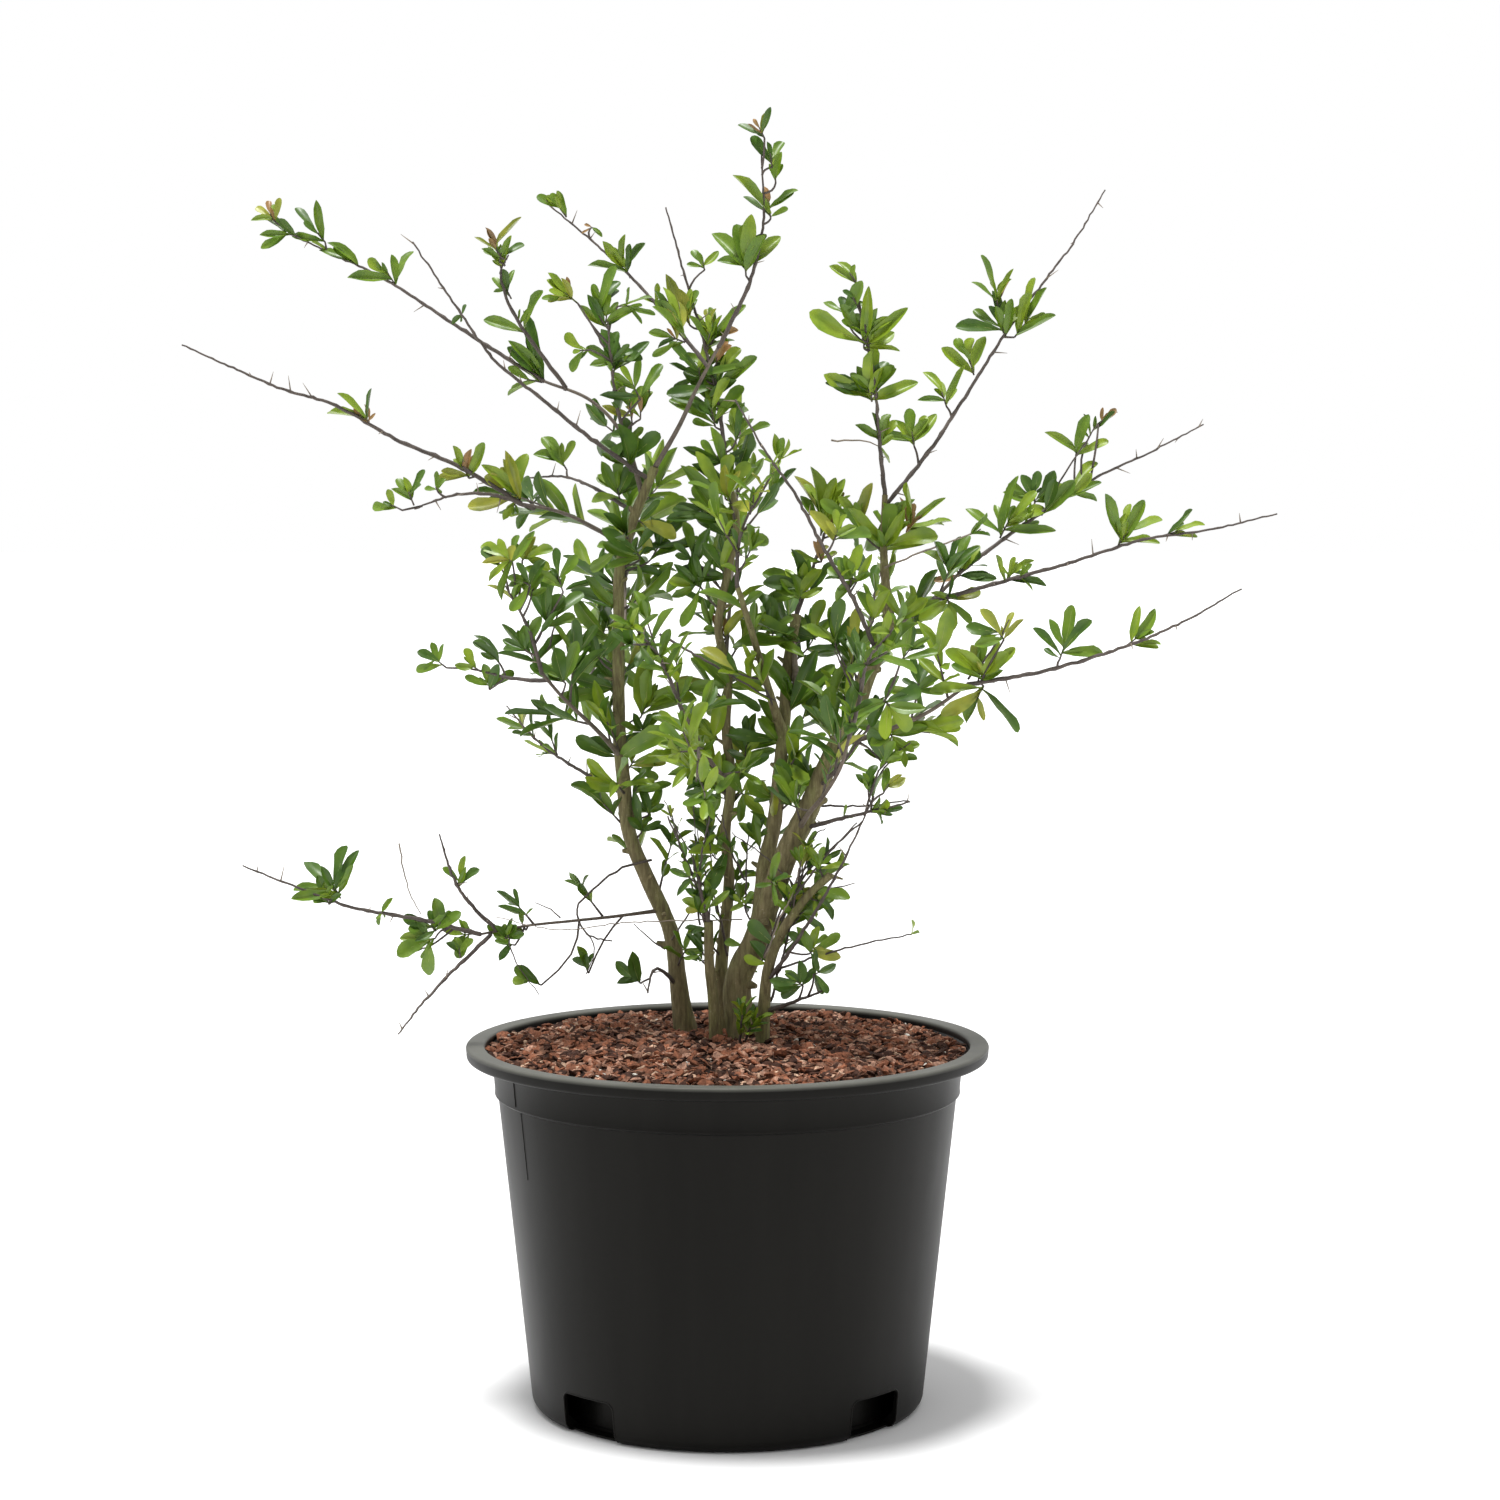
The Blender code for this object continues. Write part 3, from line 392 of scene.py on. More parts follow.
TUFTS = {
    "stem_west": (
        (0.35, 7, 4, "ddmddd", 15, 155, 20, 4), (0.39, 15, 0, "dmddm", 25, 175, 18, 5),
        (0.42, 5, -1, "mbmdmd", 25, 145, 26, 4), (0.43, -2, 1, "mmddm", 30, 180, 24, 4),
        (0.47, 4, -1, "mybbmd", -10, 125, 22, 4), (0.48, -3, 1, "mdmmdd", 40, 165, 33, 4),
        (0.51, 0, 2, "bbdmmd", 40, 145, 30, 4), (0.53, 16, 1, "mmddmd", -10, 210, 20, 5),
        (0.56, 15, -1, "bbbmbb", 30, 110, 36, 4), (0.61, -3, -1, "bbmmddm", 0, 195, 29, 4),
        (0.66, -13, 1, "dddmm", 60, 215, 21, 5), (0.75, -3, 2, "mdmmmmd", -10, 150, 28, 4),
        (0.85, 18, -5, "dmdbdm", 20, 110, 35, 3), (0.85, 11, -5, "ddddmm", 35, 195, 26, 4),
        (0.86, -3, 1, "mddbmmm", -5, 215, 25, 5), (0.91, 4, -1, "yyydd", -145, 105, 20, 5),
    ),
    "stem_centre": (
        (0.23, 8, -1, "dbmmd", 0, 130, 15, 5), (0.32, -8, -3, "mmddd", 65, 195, 18, 4),
        (0.33, 1, 0, "mdmbd", 65, 230, 23, 4), (0.39, -8, 1, "mdddd", 70, 195, 17, 5),
        (0.42, -3, 1, "dmbbmd", 15, 170, 25, 4), (0.44, -6, -2, "mzbbydd", 25, 165, 24, 5),
        (0.44, 8, -3, "dmbmbm", -140, 110, 17, 5), (0.47, -5, -1, "bybmddd", 140, 215, 36, 3),
        (0.49, 11, 1, "mbmdmd", 20, 145, 25, 4), (0.52, -4, 0, "bbbmbby", 105, 180, 29, 4),
        (0.61, 0, 1, "dmddmm", -40, 180, 28, 4), (0.70, 3, 3, "yzzmmd", 60, 205, 23, 4),
        (0.79, -16, 3, "dddbmm", 75, 235, 23, 4), (0.81, 0, 0, "mbbdddd", 35, 185, 25, 4),
        (0.83, -20, 4, "dmddmd", 80, 250, 24, 4), (0.89, -4, -1, "mbmbbmd", 5, 150, 24, 4),
        (0.92, -9, -2, "ymmmddd", 120, 180, 37, 3), (0.96, -4, -2, "bbbbbdd", 40, 145, 28, 4),
    ),
    "trunk_east": (
        (0.01, 2, -1, "bbbmbm", 0, 150, 13, 5), (0.20, -7, 2, "dddbm", -60, 145, 12, 6),
        (0.29, -14, 6, "dmmbb", -65, 190, 11, 6), (0.86, -11, 6, "mmdyyd", 40, 110, 32, 3),
        (0.89, -24, 10, "ddmmdbb", 60, 155, 27, 4),
    ),
    "stem_short": (
        (0.66, -5, 0, "dddmd", -45, 140, 11, 5), (0.72, -4, 0, "dmdddm", -60, 190, 14, 5),
        (0.92, -2, 0, "bmdmd", 35, 165, 15, 4), (1, 1, 9, "bmmdd", 45, 145, 16, 4),
    ),
    "stem_stub": (
        (0.30, -1, 1, "mdmdb", 0, 165, 15, 6), (0.41, -1, 0, "mbmmd", 15, 125, 19, 5),
        (0.51, 2, -1, "mbmbb", 40, 65, 32, 3), (0.59, 0, 1, "bmyymm", 30, 120, 22, 4),
        (0.66, 2, -2, "dmbmb", -30, 120, 16, 5), (0.67, -5, 4, "bymmb", 20, 120, 17, 4),
        (0.79, 2, -3, "bmmy", -70, 55, 16, 5), (0.81, 1, -1, "dbmymb", -30, 105, 18, 4),
        (0.86, -11, 13, "byymm", 60, 115, 16, 4), (0.97, -5, 5, "bmmbm", 20, 150, 16, 4),
    ),
    "limb_middle": (
        (0.17, 2, 1, "bmbdm", 20, 180, 16, 5), (0.23, -6, 1, "dmmmd", 70, 130, 22, 4),
        (0.29, 2, 1, "bbyd", 75, 125, 24, 4), (0.39, -1, 0, "mbzmmb", 40, 225, 17, 5),
        (0.39, -3, 0, "mbbmd", 60, 180, 19, 5), (0.43, 3, -1, "mmmmyzb", 25, 205, 19, 5),
        (0.58, -1, 0, "mbmmmdm", 25, 190, 31, 4), (0.70, 4, 0, "mmddmm", 30, 145, 38, 3),
        (0.92, 5, -2, "ddmmdym", 120, 175, 32, 3), (0.92, -14, 2, "mdmddmm", -20, 170, 20, 5),
        (1, 2, 9, "bbymm", 30, 135, 21, 5),
    ),
    "bough_west_high": (
        (0.15, -3, -1, "dmdddm", 45, 155, 25, 4),
    ),
    "bough_west_low": (
        (0.79, 6, 5, "mdmdm", 70, 200, 22, 5),
    ),
    "bough_west_foot": (
        (0.43, 4, -37, "dmd", 85, 135, 19, 4), (0.70, 4, -42, "dmmb", 120, 175, 17, 5),
        (0.76, 1, -3, "mb", 110, 135, 13, 6), (0.83, 2, -12, "bmmd", 145, 205, 15, 5),
        (0.85, 0, -2, "mm", 0, 105, 13, 5), (0.87, 1, -6, "ddmdm", 15, 150, 14, 6),
    ),
    "bough_east_up": (
        (0.59, -1, 0, "bbbbmmmb", 20, 130, 31, 4), (0.72, 14, -1, "bbzbzb", 20, 85, 33, 2),
        (0.73, -15, 1, "ybbbm", 75, 145, 28, 4), (0.80, 4, -1, "bbmby", 40, 115, 19, 5),
    ),
    "bough_east_out": (
        (0.03, 0, -1, "bbbbbbm", 25, 130, 27, 4),
    ),
    "bough_east_low": (
        (0.28, 6, -21, "mbmdm", 10, 140, 22, 4), (0.37, 2, -3, "mmbbbmb", 180, 405, 20, 5),
        (0.65, -6, 14, "mmdddb", 0, 175, 19, 5),
    ),
    "shoot_top": (
        (0.37, -3, 1, "bmbmmm", 55, 145, 32, 4), (0.68, 5, 0, "mmzzdb", 50, 150, 28, 3),
        (0.86, 9, 0, "mm", 80, 105, 16, 5), (0.94, 7, 0, "mbd", 70, 130, 19, 5),
        (1, 2, 11, "dyzzd", 80, 145, 23, 3),
    ),
    "shoot_top_west": (
        (0.13, -2, 0, "yzmdm", 115, 200, 27, 3), (0.13, 0, 0, "ybbmm", 100, 135, 39, 2),
        (0.53, 0, -1, "dbbbm", 80, 160, 28, 3), (0.80, 5, 5, "zm", 150, 305, 9, 6),
        (0.91, 1, 1, "mmmb", 110, 145, 20, 4),
    ),
    "shoot_west_inner": (
        (0.01, 3, 1, "mmddd", -15, 215, 14, 6), (0.13, 7, 2, "bmzmy", 60, 145, 29, 3),
        (0.15, 13, 3, "mbmzb", 55, 120, 21, 4), (0.30, 16, 4, "mmbmd", 65, 165, 28, 3),
        (0.59, 1, 0, "ddddd", 50, 105, 25, 5), (0.68, 1, 0, "ddddmm", 10, 190, 17, 6),
        (0.79, -13, -1, "bbm", 145, 220, 18, 6), (0.97, -2, -1, "mdmmdb", 20, 135, 20, 4),
        (1, -20, 12, "zybbmy", 110, 170, 26, 3), (1, -6, 4, "dmm", 60, 100, 26, 4),
        (1, 7, 10, "mmmm", -35, 50, 19, 2),
    ),
    "shoot_west_high": (
        (0.00, 1, -1, "dddm", 110, 140, 46, 3), (0.00, -1, -1, "mm", 160, 180, 30, 2),
        (0.56, 1, -1, "mmbm", 80, 165, 25, 4), (0.70, 0, 0, "mm", 135, 145, 29, 3),
        (0.85, 2, 5, "mdm", 95, 170, 29, 3), (0.96, 0, 1, "dmm", 160, 180, 27, 3),
        (1, -8, 7, "ybzyyb", 80, 175, 14, 4),
    ),
    "shoot_west_tuft": (
        (0.27, -1, -1, "mm", 80, 140, 24, 4), (0.49, 1, 1, "mdmm", 80, 150, 20, 4),
        (0.80, -2, 0, "bbb", 75, 135, 18, 4), (0.87, -4, 1, "dmdm", 30, 125, 16, 5),
        (1, -8, 3, "yzzy", 75, 155, 21, 2),
    ),
    "shoot_west_bare": (
        (0.75, -1, 1, "dd", 85, 225, 8, 5),
    ),
    "shoot_west_side": (
        (0.15, 2, 2, "ddmmbb", 45, 165, 24, 5), (0.66, 2, 5, "bbmmm", 80, 165, 23, 4),
    ),
    "shoot_west": (
        (0.01, 2, 1, "byymbyy", 80, 170, 28, 4), (0.01, 0, 2, "bm", -110, -100, 16, 6),
        (0.14, -2, -3, "bzzbyy", 65, 175, 22, 4), (0.41, 1, 0, "dzzbb", 90, 155, 28, 2),
    ),
    "shoot_west_droop": (
        (0.77, -2, 5, "mm", 75, 150, 10, 5), (0.99, -1, 2, "dmbm", 90, 145, 19, 4),
        (1, -8, -1, "bdm", 130, 175, 18, 4),
    ),
    "shoot_west_rise": (
        (0.27, -6, -1, "mdddd", 75, 180, 21, 5), (0.38, 5, 2, "mdddd", 25, 105, 34, 4),
        (0.67, 27, 15, "mddm", 75, 145, 24, 4), (0.77, 9, 5, "mmm", 35, 120, 16, 5),
        (0.89, 13, 7, "ddmmm", 60, 235, 16, 5), (1, 0, 6, "yzmbd", 90, 125, 25, 4),
        (1, 11, 17, "bbbybb", -5, 115, 17, 5), (1, 5, 16, "mmbbybm", 40, 250, 21, 4),
    ),
    "shoot_west_level": (
        (0.56, 2, 8, "dd", 135, 140, 31, 3), (0.61, -2, -11, "mdmdm", 30, 165, 18, 5),
        (0.76, 0, 0, "bb", 140, 160, 16, 6), (1, -8, -2, "mmdm", 95, 180, 17, 4),
    ),
    "shoot_foot_west": (
        (0.03, 0, -1, "mbmm", 125, 230, 16, 5), (0.14, -1, -4, "mm", 70, 100, 20, 6),
        (0.17, -2, -10, "dmbmm", 125, 240, 20, 5), (0.17, -2, -5, "mddddd", 45, 205, 19, 5),
        (0.19, -5, -18, "mm", 175, 195, 10, 4), (0.39, -1, 0, "mm", 60, 235, 11, 5),
        (0.57, 0, 3, "mddddmbm", 60, 180, 30, 3), (0.61, -2, -3, "dmddm", 45, 170, 16, 5),
    ),
    "shoot_foot_rise": (
        (0.44, -1, -1, "dmbm", 40, 120, 18, 4),
    ),
    "shoot_foot_droop": (
        (0.25, -2, 2, "mmd", 75, 140, 13, 6),
    ),
    "shoot_centre": (
        (0.03, -3, 0, "dmmmdd", 40, 185, 24, 4), (0.11, 8, 1, "mmdmb", 35, 105, 21, 3),
        (0.18, -4, -1, "mbmddm", 55, 145, 28, 4), (0.27, -8, -1, "dmdmdd", -55, 165, 21, 5),
        (0.32, 2, 1, "mbdddd", 35, 175, 27, 4), (0.37, -8, -1, "mmbddd", 10, 205, 26, 3),
        (0.41, 5, 1, "mzbbm", 20, 150, 22, 4), (0.46, 0, 0, "mbbybm", 40, 115, 32, 2),
        (0.49, 6, 2, "zmmmyb", 30, 125, 23, 4), (0.57, -6, -2, "mbyyz", 75, 125, 28, 3),
        (0.75, 14, 3, "bmmm", 55, 150, 17, 5),
    ),
    "shoot_east_tall": (
        (0.29, 1, 0, "mbmmm", 55, 135, 22, 4), (0.56, -3, 0, "bmdmd", 45, 160, 26, 4),
        (0.58, -3, 0, "mmbbmb", 45, 145, 27, 4), (0.62, -4, 0, "mdmmd", 45, 160, 20, 5),
        (0.87, -1, 0, "bbm", 40, 110, 26, 5), (0.89, -3, -1, "bbbmb", 15, 150, 33, 4),
        (0.94, -3, -1, "mbdmm", 30, 130, 19, 5), (1, -5, 29, "bbb", 105, 130, 18, 4),
        (1, -5, 14, "md", 120, 135, 16, 4), (1, -13, 8, "mmdm", 20, 130, 18, 5),
    ),
    "shoot_east_lean": (
        (0.15, -8, 6, "bbmbm", 55, 150, 21, 4), (0.29, -6, 3, "bbbm", 70, 160, 25, 3),
        (0.39, -2, 2, "bbmb", 70, 140, 22, 4), (0.51, 2, 0, "bmdmmd", 60, 155, 29, 4),
        (0.53, 5, -4, "mbbmbb", 15, 70, 32, 2), (0.56, -11, 8, "bzmbm", 65, 130, 31, 2),
    ),
    "shoot_east_tuft": (
        (0.85, 1, -1, "mdbbmdd", -160, 70, 21, 5), (1, 3, 12, "mddm", 30, 75, 27, 4),
    ),
    "shoot_east_out": (
        (0.00, 1, -2, "dbmbz", 0, 185, 28, 4), (0.19, -2, 1, "mbbmmm", 15, 120, 34, 3),
        (0.34, 1, -1, "bmdd", 45, 80, 31, 4), (0.35, -5, 7, "mdddmm", 25, 175, 20, 5),
        (0.43, 0, -1, "mmmb", 5, 45, 31, 3), (0.56, -10, 14, "bmb", 30, 120, 25, 3),
        (0.62, -11, 23, "dm", 25, 110, 20, 2), (0.68, -15, 29, "zz", 30, 60, 18, 2),
    ),
    "shoot_east_far": (
        (0.04, -1, -2, "bbbmy", 165, 390, 17, 5), (0.21, 0, -1, "dbbbb", 5, 115, 22, 3),
        (0.53, 0, 0, "bbbmbbm", 5, 105, 29, 3), (0.67, 0, 1, "ybbd", 0, 35, 23, 2),
    ),
    "shoot_east_low": (
        (0.03, 1, 1, "mbmbb", 30, 120, 25, 5), (0.05, 1, -3, "bymyd", -175, -55, 28, 3),
        (0.06, -1, 0, "bybybm", 45, 150, 22, 4), (0.15, -5, 25, "yyydm", 35, 200, 20, 4),
        (0.33, -2, 4, "mdmmd", 30, 120, 26, 4), (0.53, 1, 0, "bbmmb", 5, 60, 28, 3),
    ),
    "shoot_inner_rise": (
        (0.09, 6, 2, "bbm", 65, 115, 19, 5), (0.24, 3, 3, "mbmdm", 35, 145, 20, 5),
        (0.25, 8, 3, "bmmmm", 65, 235, 18, 5), (0.41, 7, 3, "mbbby", 15, 135, 21, 5),
    ),
    "shoot_middle": (
        (0.00, 13, -18, "mbmdmdm", 55, 180, 26, 4), (0.11, 1, -1, "bmbmm", 70, 135, 26, 4),
        (0.20, 3, -1, "dmbdmdm", 55, 190, 28, 4), (0.47, 4, -2, "byzb", 45, 150, 18, 5),
        (0.66, -2, 1, "mbbbbmm", 60, 110, 37, 3), (0.70, 5, -2, "bbbzyzbby", 65, 125, 43, 2),
    ),
    "shoot_east_whip": (
        (0.24, 10, -8, "ymbmd", 5, 125, 21, 5), (0.99, -3, 2, "ddmd", 65, 115, 18, 5),
        (1, 6, 2, "yym", 30, 95, 14, 5), (1, 3, 17, "bbm", 30, 65, 24, 4),
    ),
    "shoot_short": (
        (0.11, -4, -1, "mmdby", 50, 165, 13, 6), (0.63, -4, -1, "dmdd", 65, 215, 14, 4),
    ),
    "shoot_foot_left": (
        (0.86, -6, 1, "ddd", 100, 180, 21, 5),
    ),
    "shoot_foot_right": (
        (0.65, -2, 8, "ddmddd", 75, 205, 17, 6), (0.89, -4, 12, "ddd", -60, 90, 15, 5),
    ),
}


# The growth rule

def metres(millimetres):
    """A table's value or values, in metres."""
    return np.array(millimetres, float) / 1000


def unit(vector):
    return vector / np.linalg.norm(vector)


class Route:
    """A limb's centre line from foot to tip, with its radius all along."""

    def __init__(self, foot, tip, bow, foot_radius, tip_radius, step, seed, peak=0.5):
        foot, tip, bow = (np.array(v, float) for v in (foot, tip, bow))
        length = np.linalg.norm(tip - foot)
        count = max(3, round(length / step))
        share = np.linspace(0, 1, count + 1)[:, None]
        kinks = np.random.default_rng(seed).normal(0, KINK * length, (count + 1, 3))
        kinks[[0, -1]] = 0
        aside = np.sin(pi * share ** (log(0.5) / log(peak)))
        self.points = foot + (tip - foot) * share + aside * bow + kinks
        self.radii = foot_radius + (tip_radius - foot_radius) * share[:, 0]

    @classmethod
    def through(cls, places, foot_radius, tip_radius):
        """The route that runs through the places given."""
        route = cls.__new__(cls)
        route.points = places
        route.radii = np.linspace(foot_radius, tip_radius, len(places))
        return route

    def length(self):
        return np.linalg.norm(np.diff(self.points, axis=0), axis=1).sum()

    def place(self, at):
        """The centre, direction and radius at a share of the route's length."""
        spot = min(at, 0.9999) * (len(self.points) - 1)
        i = int(spot)
        centre = self.points[i] + (self.points[i + 1] - self.points[i]) * (spot - i)
        radius = self.radii[i] + (self.radii[i + 1] - self.radii[i]) * (spot - i)
        return centre, unit(self.points[i + 1] - self.points[i]), radius

    def samples(self, spacing):
        """Points close together along the route, with the radius at each."""
        places = [self.place(at) for at in np.linspace(0, 1, max(2, int(self.length() / spacing)))]
        return np.array([p[0] for p in places]), np.array([p[2] for p in places])

    def smooth(self, spacing):
        """The route drawn as one smooth curve: points, and the radius at each."""
        points = np.vstack([2 * self.points[0] - self.points[1], self.points,
                            2 * self.points[-1] - self.points[-2]])
        count = max(4, round(self.length() / spacing))
        centres, radii = [], []
        for spot in np.linspace(0, len(self.points) - 1, count + 1):
            i = min(int(spot), len(self.points) - 2)
            t = spot - i
            a, b, c, d = points[i:i + 4]
            centres.append(0.5 * (2 * b + (c - a) * t + (2 * a - 5 * b + 4 * c - d) * t ** 2
                                  + (3 * b - a - 3 * c + d) * t ** 3))
            radii.append(self.radii[i] + (self.radii[i + 1] - self.radii[i]) * t)
        return np.array(centres), np.array(radii)


def spring_from(parent, at, tip):
    """The foot of a limb on its parent's skin or tip."""
    centre, along, radius = parent.place(at)
    if at == 1:
        return centre + along * GAP
    outward = tip - centre
    outward = unit(outward - along * outward.dot(along))
    return centre + outward * (radius + GAP)


def lay_out_limbs():
    """The routes of all stems and boughs, by name."""
    routes = {}
    for seed, stem in enumerate(STEMS):
        foot = (*metres(stem.foot), MIX_TOP_Z + GAP)
        routes[stem.name] = Route(foot, metres(stem.tip), metres(stem.bow), metres(stem.foot_radius),
                                  metres(stem.tip_radius), LIMB_STEP, seed, stem.peak)
    for seed, bough in enumerate(BOUGHS):
        foot, along, radius = routes[bough.on].place(bough.at)
        if bough.at == 1:
            foot = foot + along * GAP
        routes[bough.name] = Route(foot, metres(bough.tip), metres(bough.bow), metres(bough.foot_radius),
                                   metres(bough.tip_radius), LIMB_STEP, BOUGH_SEED + seed)
    return routes


def lay_out_shoots(limb_routes):
    """The routes of the leafy shoots, by name."""
    routes = {}
    for seed, shoot in enumerate(SHOOTS):
        tip = metres(shoot.tip)
        foot = spring_from(limb_routes[shoot.on], shoot.at, tip)
        if shoot.tufts[-1] == 1:
            tip = tip - unit(tip - foot) * metres(shoot.leaf) * END_LEAF_REACH
        routes[shoot.name] = Route(foot, tip, metres(shoot.bow), SHOOT_FOOT_RADIUS, SHOOT_TIP_RADIUS,
                                   SHOOT_STEP, SHOOT_SEED + seed)
    return routes


class Space:
    """What is free for a leaf: clear of the limbs and the pot."""

    def __init__(self, limb_routes):
        limbs = [route.samples(SPACE_STEP) for route in limb_routes.values()]
        self.limbs = np.vstack([points for points, radii in limbs])
        self.limb_radii = np.concatenate([radii for points, radii in limbs])

    def clear(self, points):
        """Whether every one of the points is clear of the limbs and the pot."""
        points = np.array(points)
        gaps = np.linalg.norm(points[:, None] - self.limbs[None], axis=2) - self.limb_radii
        radii = np.hypot(points[:, 0], points[:, 1])
        in_pot = (radii < RIM_RADIUS + POT_MARGIN) & (points[:, 2] < MIX_TOP_Z + POT_MARGIN)
        return bool(np.all(gaps.min(axis=1) > LIMB_MARGIN) and not in_pot.any())


# Leaves by the rule: where each is rooted, where it points and which way it faces
Leaf = namedtuple("Leaf", "root along face length width kind")

KINDS = ("deep", "mid", "bright", "yellow", "bronze")
KIND_LETTERS = "dmbyz"
# Shares of the kinds in an old spray and in one at a shoot's tip.
OLD_MIX = (0.38, 0.40, 0.20, 0.02, 0.00)
YOUNG_MIX = (0.08, 0.36, 0.44, 0.12, 0.00)


def leaf_outline(leaf):
    """Points round the edge and over the face of a leaf, but for its root."""
    edge = np.cross(leaf.along, leaf.face)
    middle = leaf.root + leaf.along * (leaf.length * LEAF_WIDEST)
    half = leaf.length * LEAF_WIDTH / 2
    tip = leaf.root + leaf.along * leaf.length
    left, right = middle + edge * half, middle - edge * half
    points = [tip, left, right]
    points += [leaf.root + (end - leaf.root) * share for end in points for share in (0.3, 0.6, 0.8)]
    return points + [tip + (end - tip) * share for end in (left, right) for share in (0.35, 0.7)]


def leaf_on(foot, heading, outward, spread, length, roll):
    """A leaf that leaves its twig at foot, leaning out from the twig's heading."""
    along = unit(heading * cos(spread) + outward * sin(spread) + np.array((0, 0, LEAF_LIFT)))
    upper = heading + np.array((0, 0, FACE_LIFT)) + roll * np.cross(heading, outward)
    face = unit(upper - along * upper.dot(along))
    return Leaf(foot - along * (SPUR_RADIUS * ROOT_SINK), along, face, length, 1.0, 0)


# Thorns and dry twigs are pale.
Twig = namedtuple("Twig", "points radii pale")


class Foliage:
    """All that grows on the limbs: twigs, thorns and leaves, each by its rule."""

    def __init__(self, settings):
        self.settings = settings
        self.limb_routes = lay_out_limbs()
        self.leaves = []
        self.twigs = []
        self.wood = Space(self.limb_routes)
        self.routes = {**self.limb_routes, **lay_out_shoots(self.limb_routes)}
        for seed, shoot in enumerate(SHOOTS):
            self.grow_shoot(shoot, seed)
        rows = [(self.routes[name], Tuft(*row)) for name, rows in TUFTS.items() for row in rows]
        for seed, (limb, tuft) in enumerate(rows):
            self.grow_shaped_tuft(limb, tuft, np.random.default_rng(FAN_SEED + seed))
        for seed, name in enumerate(self.limb_routes):
            self.grow_on_limb(name, LIMB_SPRAY_SEED + seed)
        for seed, row in enumerate(FINE_TWIGS):
            self.grow_fine_twig(FineTwig(*row), np.random.default_rng(FINE_TWIG_SEED + seed))

    @staticmethod
    def deal_kind(youth, rng):
        """A kind of leaf, younger towards the tips."""
        weights = np.array(OLD_MIX) * (1 - youth) + np.array(YOUNG_MIX) * youth
        return int(rng.choice(len(KINDS), p=weights / weights.sum()))

    def keep(self, leaves, kind, youth, rng):
        """Keep the leaves that are clear of wood and pot, most of them of the spray's own kind."""
        for leaf in leaves:
            own = rng.random() < OWN_KIND
            other = self.deal_kind(youth, rng)
            leaf = leaf._replace(kind=kind if own else other, width=rng.uniform(*self.settings.leaf_widths))
            if self.wood.clear(leaf_outline(leaf)):
                self.leaves.append(leaf)

    @staticmethod
    def whorl(foot, heading, count, size, rng, spreads=WHORL_SPREADS):
        """Leaves that leave one node all round, leaning forward."""
        aside = unit(np.cross(heading, (0.31, 0.17, 0.93)))
        other = np.cross(heading, aside)
        start = rng.uniform(0, tau)
        leaves = []
        for i in range(count):
            angle = start + tau * i / count + rng.normal(0, WHORL_WANDER)
            outward = aside * cos(angle) + other * sin(angle)
            leaves.append(leaf_on(foot, heading, outward, rng.uniform(*spreads),
                                  size * rng.uniform(*LEAF_LENGTHS), rng.normal(0, LEAF_ROLL)))
        return leaves

    def spray(self, foot, heading, length, size, youth, rng):
        """A side twig with leaves in pairs and a whorl at its end, as in the solid but finer."""
        bend = rng.normal(0, SPRAY_BEND * length, 3)
        count = max(1, round(length / self.settings.pair_spacing))
        share = np.linspace(0, 1, count + 1)[:, None]
        points = foot + heading * length * share + bend * np.sin(pi * share / 2)
        radii = SPUR_RADIUS * self.settings.twig_size * np.linspace(1.0, SPRAY_TAPER, count + 1)
        self.twigs.append(Twig(points, radii, False))
        kind = self.deal_kind(youth, rng)
        leaves = []
        for i in range(1, count):
            along = unit(points[i + 1] - points[i])
            grown = PAIR_LEAF + PAIR_SWELL * sin(pi * i / count)
            leaves += self.whorl(points[i], along, 2, size * grown, rng, PAIR_SPREADS)
        along = unit(points[-1] - points[-2])
        leaves += self.whorl(points[-1], along, int(rng.integers(3, 5)), size * END_LEAF, rng, END_SPREADS)
        self.keep(leaves, kind, youth, rng)

    def grow_shoot(self, shoot, seed):
        """A shoot's stem, its tufts unless TUFTS has them, and its thorns and small leaves."""
        rng = np.random.default_rng(SHOOT_GROWTH_SEED + seed)
        route = self.routes[shoot.name]
        size = self.settings.leaf_base + self.settings.leaf_share * metres(shoot.leaf)
        shaped = shoot.name in TUFTS
        if shoot.name in LIGHT_SHOOTS:
            size *= self.settings.light_leaf
        if not shaped:
            for number, share in enumerate(shoot.tufts):
                self.grow_tuft(route, share, shoot, size, seed + number * TUFT_TURN, rng)
        self.twigs.append(self.knotted(route, self.limb_routes[shoot.on].place(shoot.at)[0], rng))
        spacing = self.settings.node_spacing
        leafy = self.settings.leafy_nodes * (SHAPED_LEAFY if shaped else 1)
        for share in np.arange(spacing / 2, route.length(), spacing) / route.length():
            centre, along, radius = route.place(share)
            if share < shoot.tufts[-1] and rng.random() < leafy:
                leaves = self.whorl(centre, along, int(rng.integers(2, 5)), size * NODE_LEAF, rng)
                self.keep(leaves, self.deal_kind(share, rng), share, rng)
            elif rng.random() < self.settings.thorny_nodes:
                self.add_thorn(centre, along, rng)

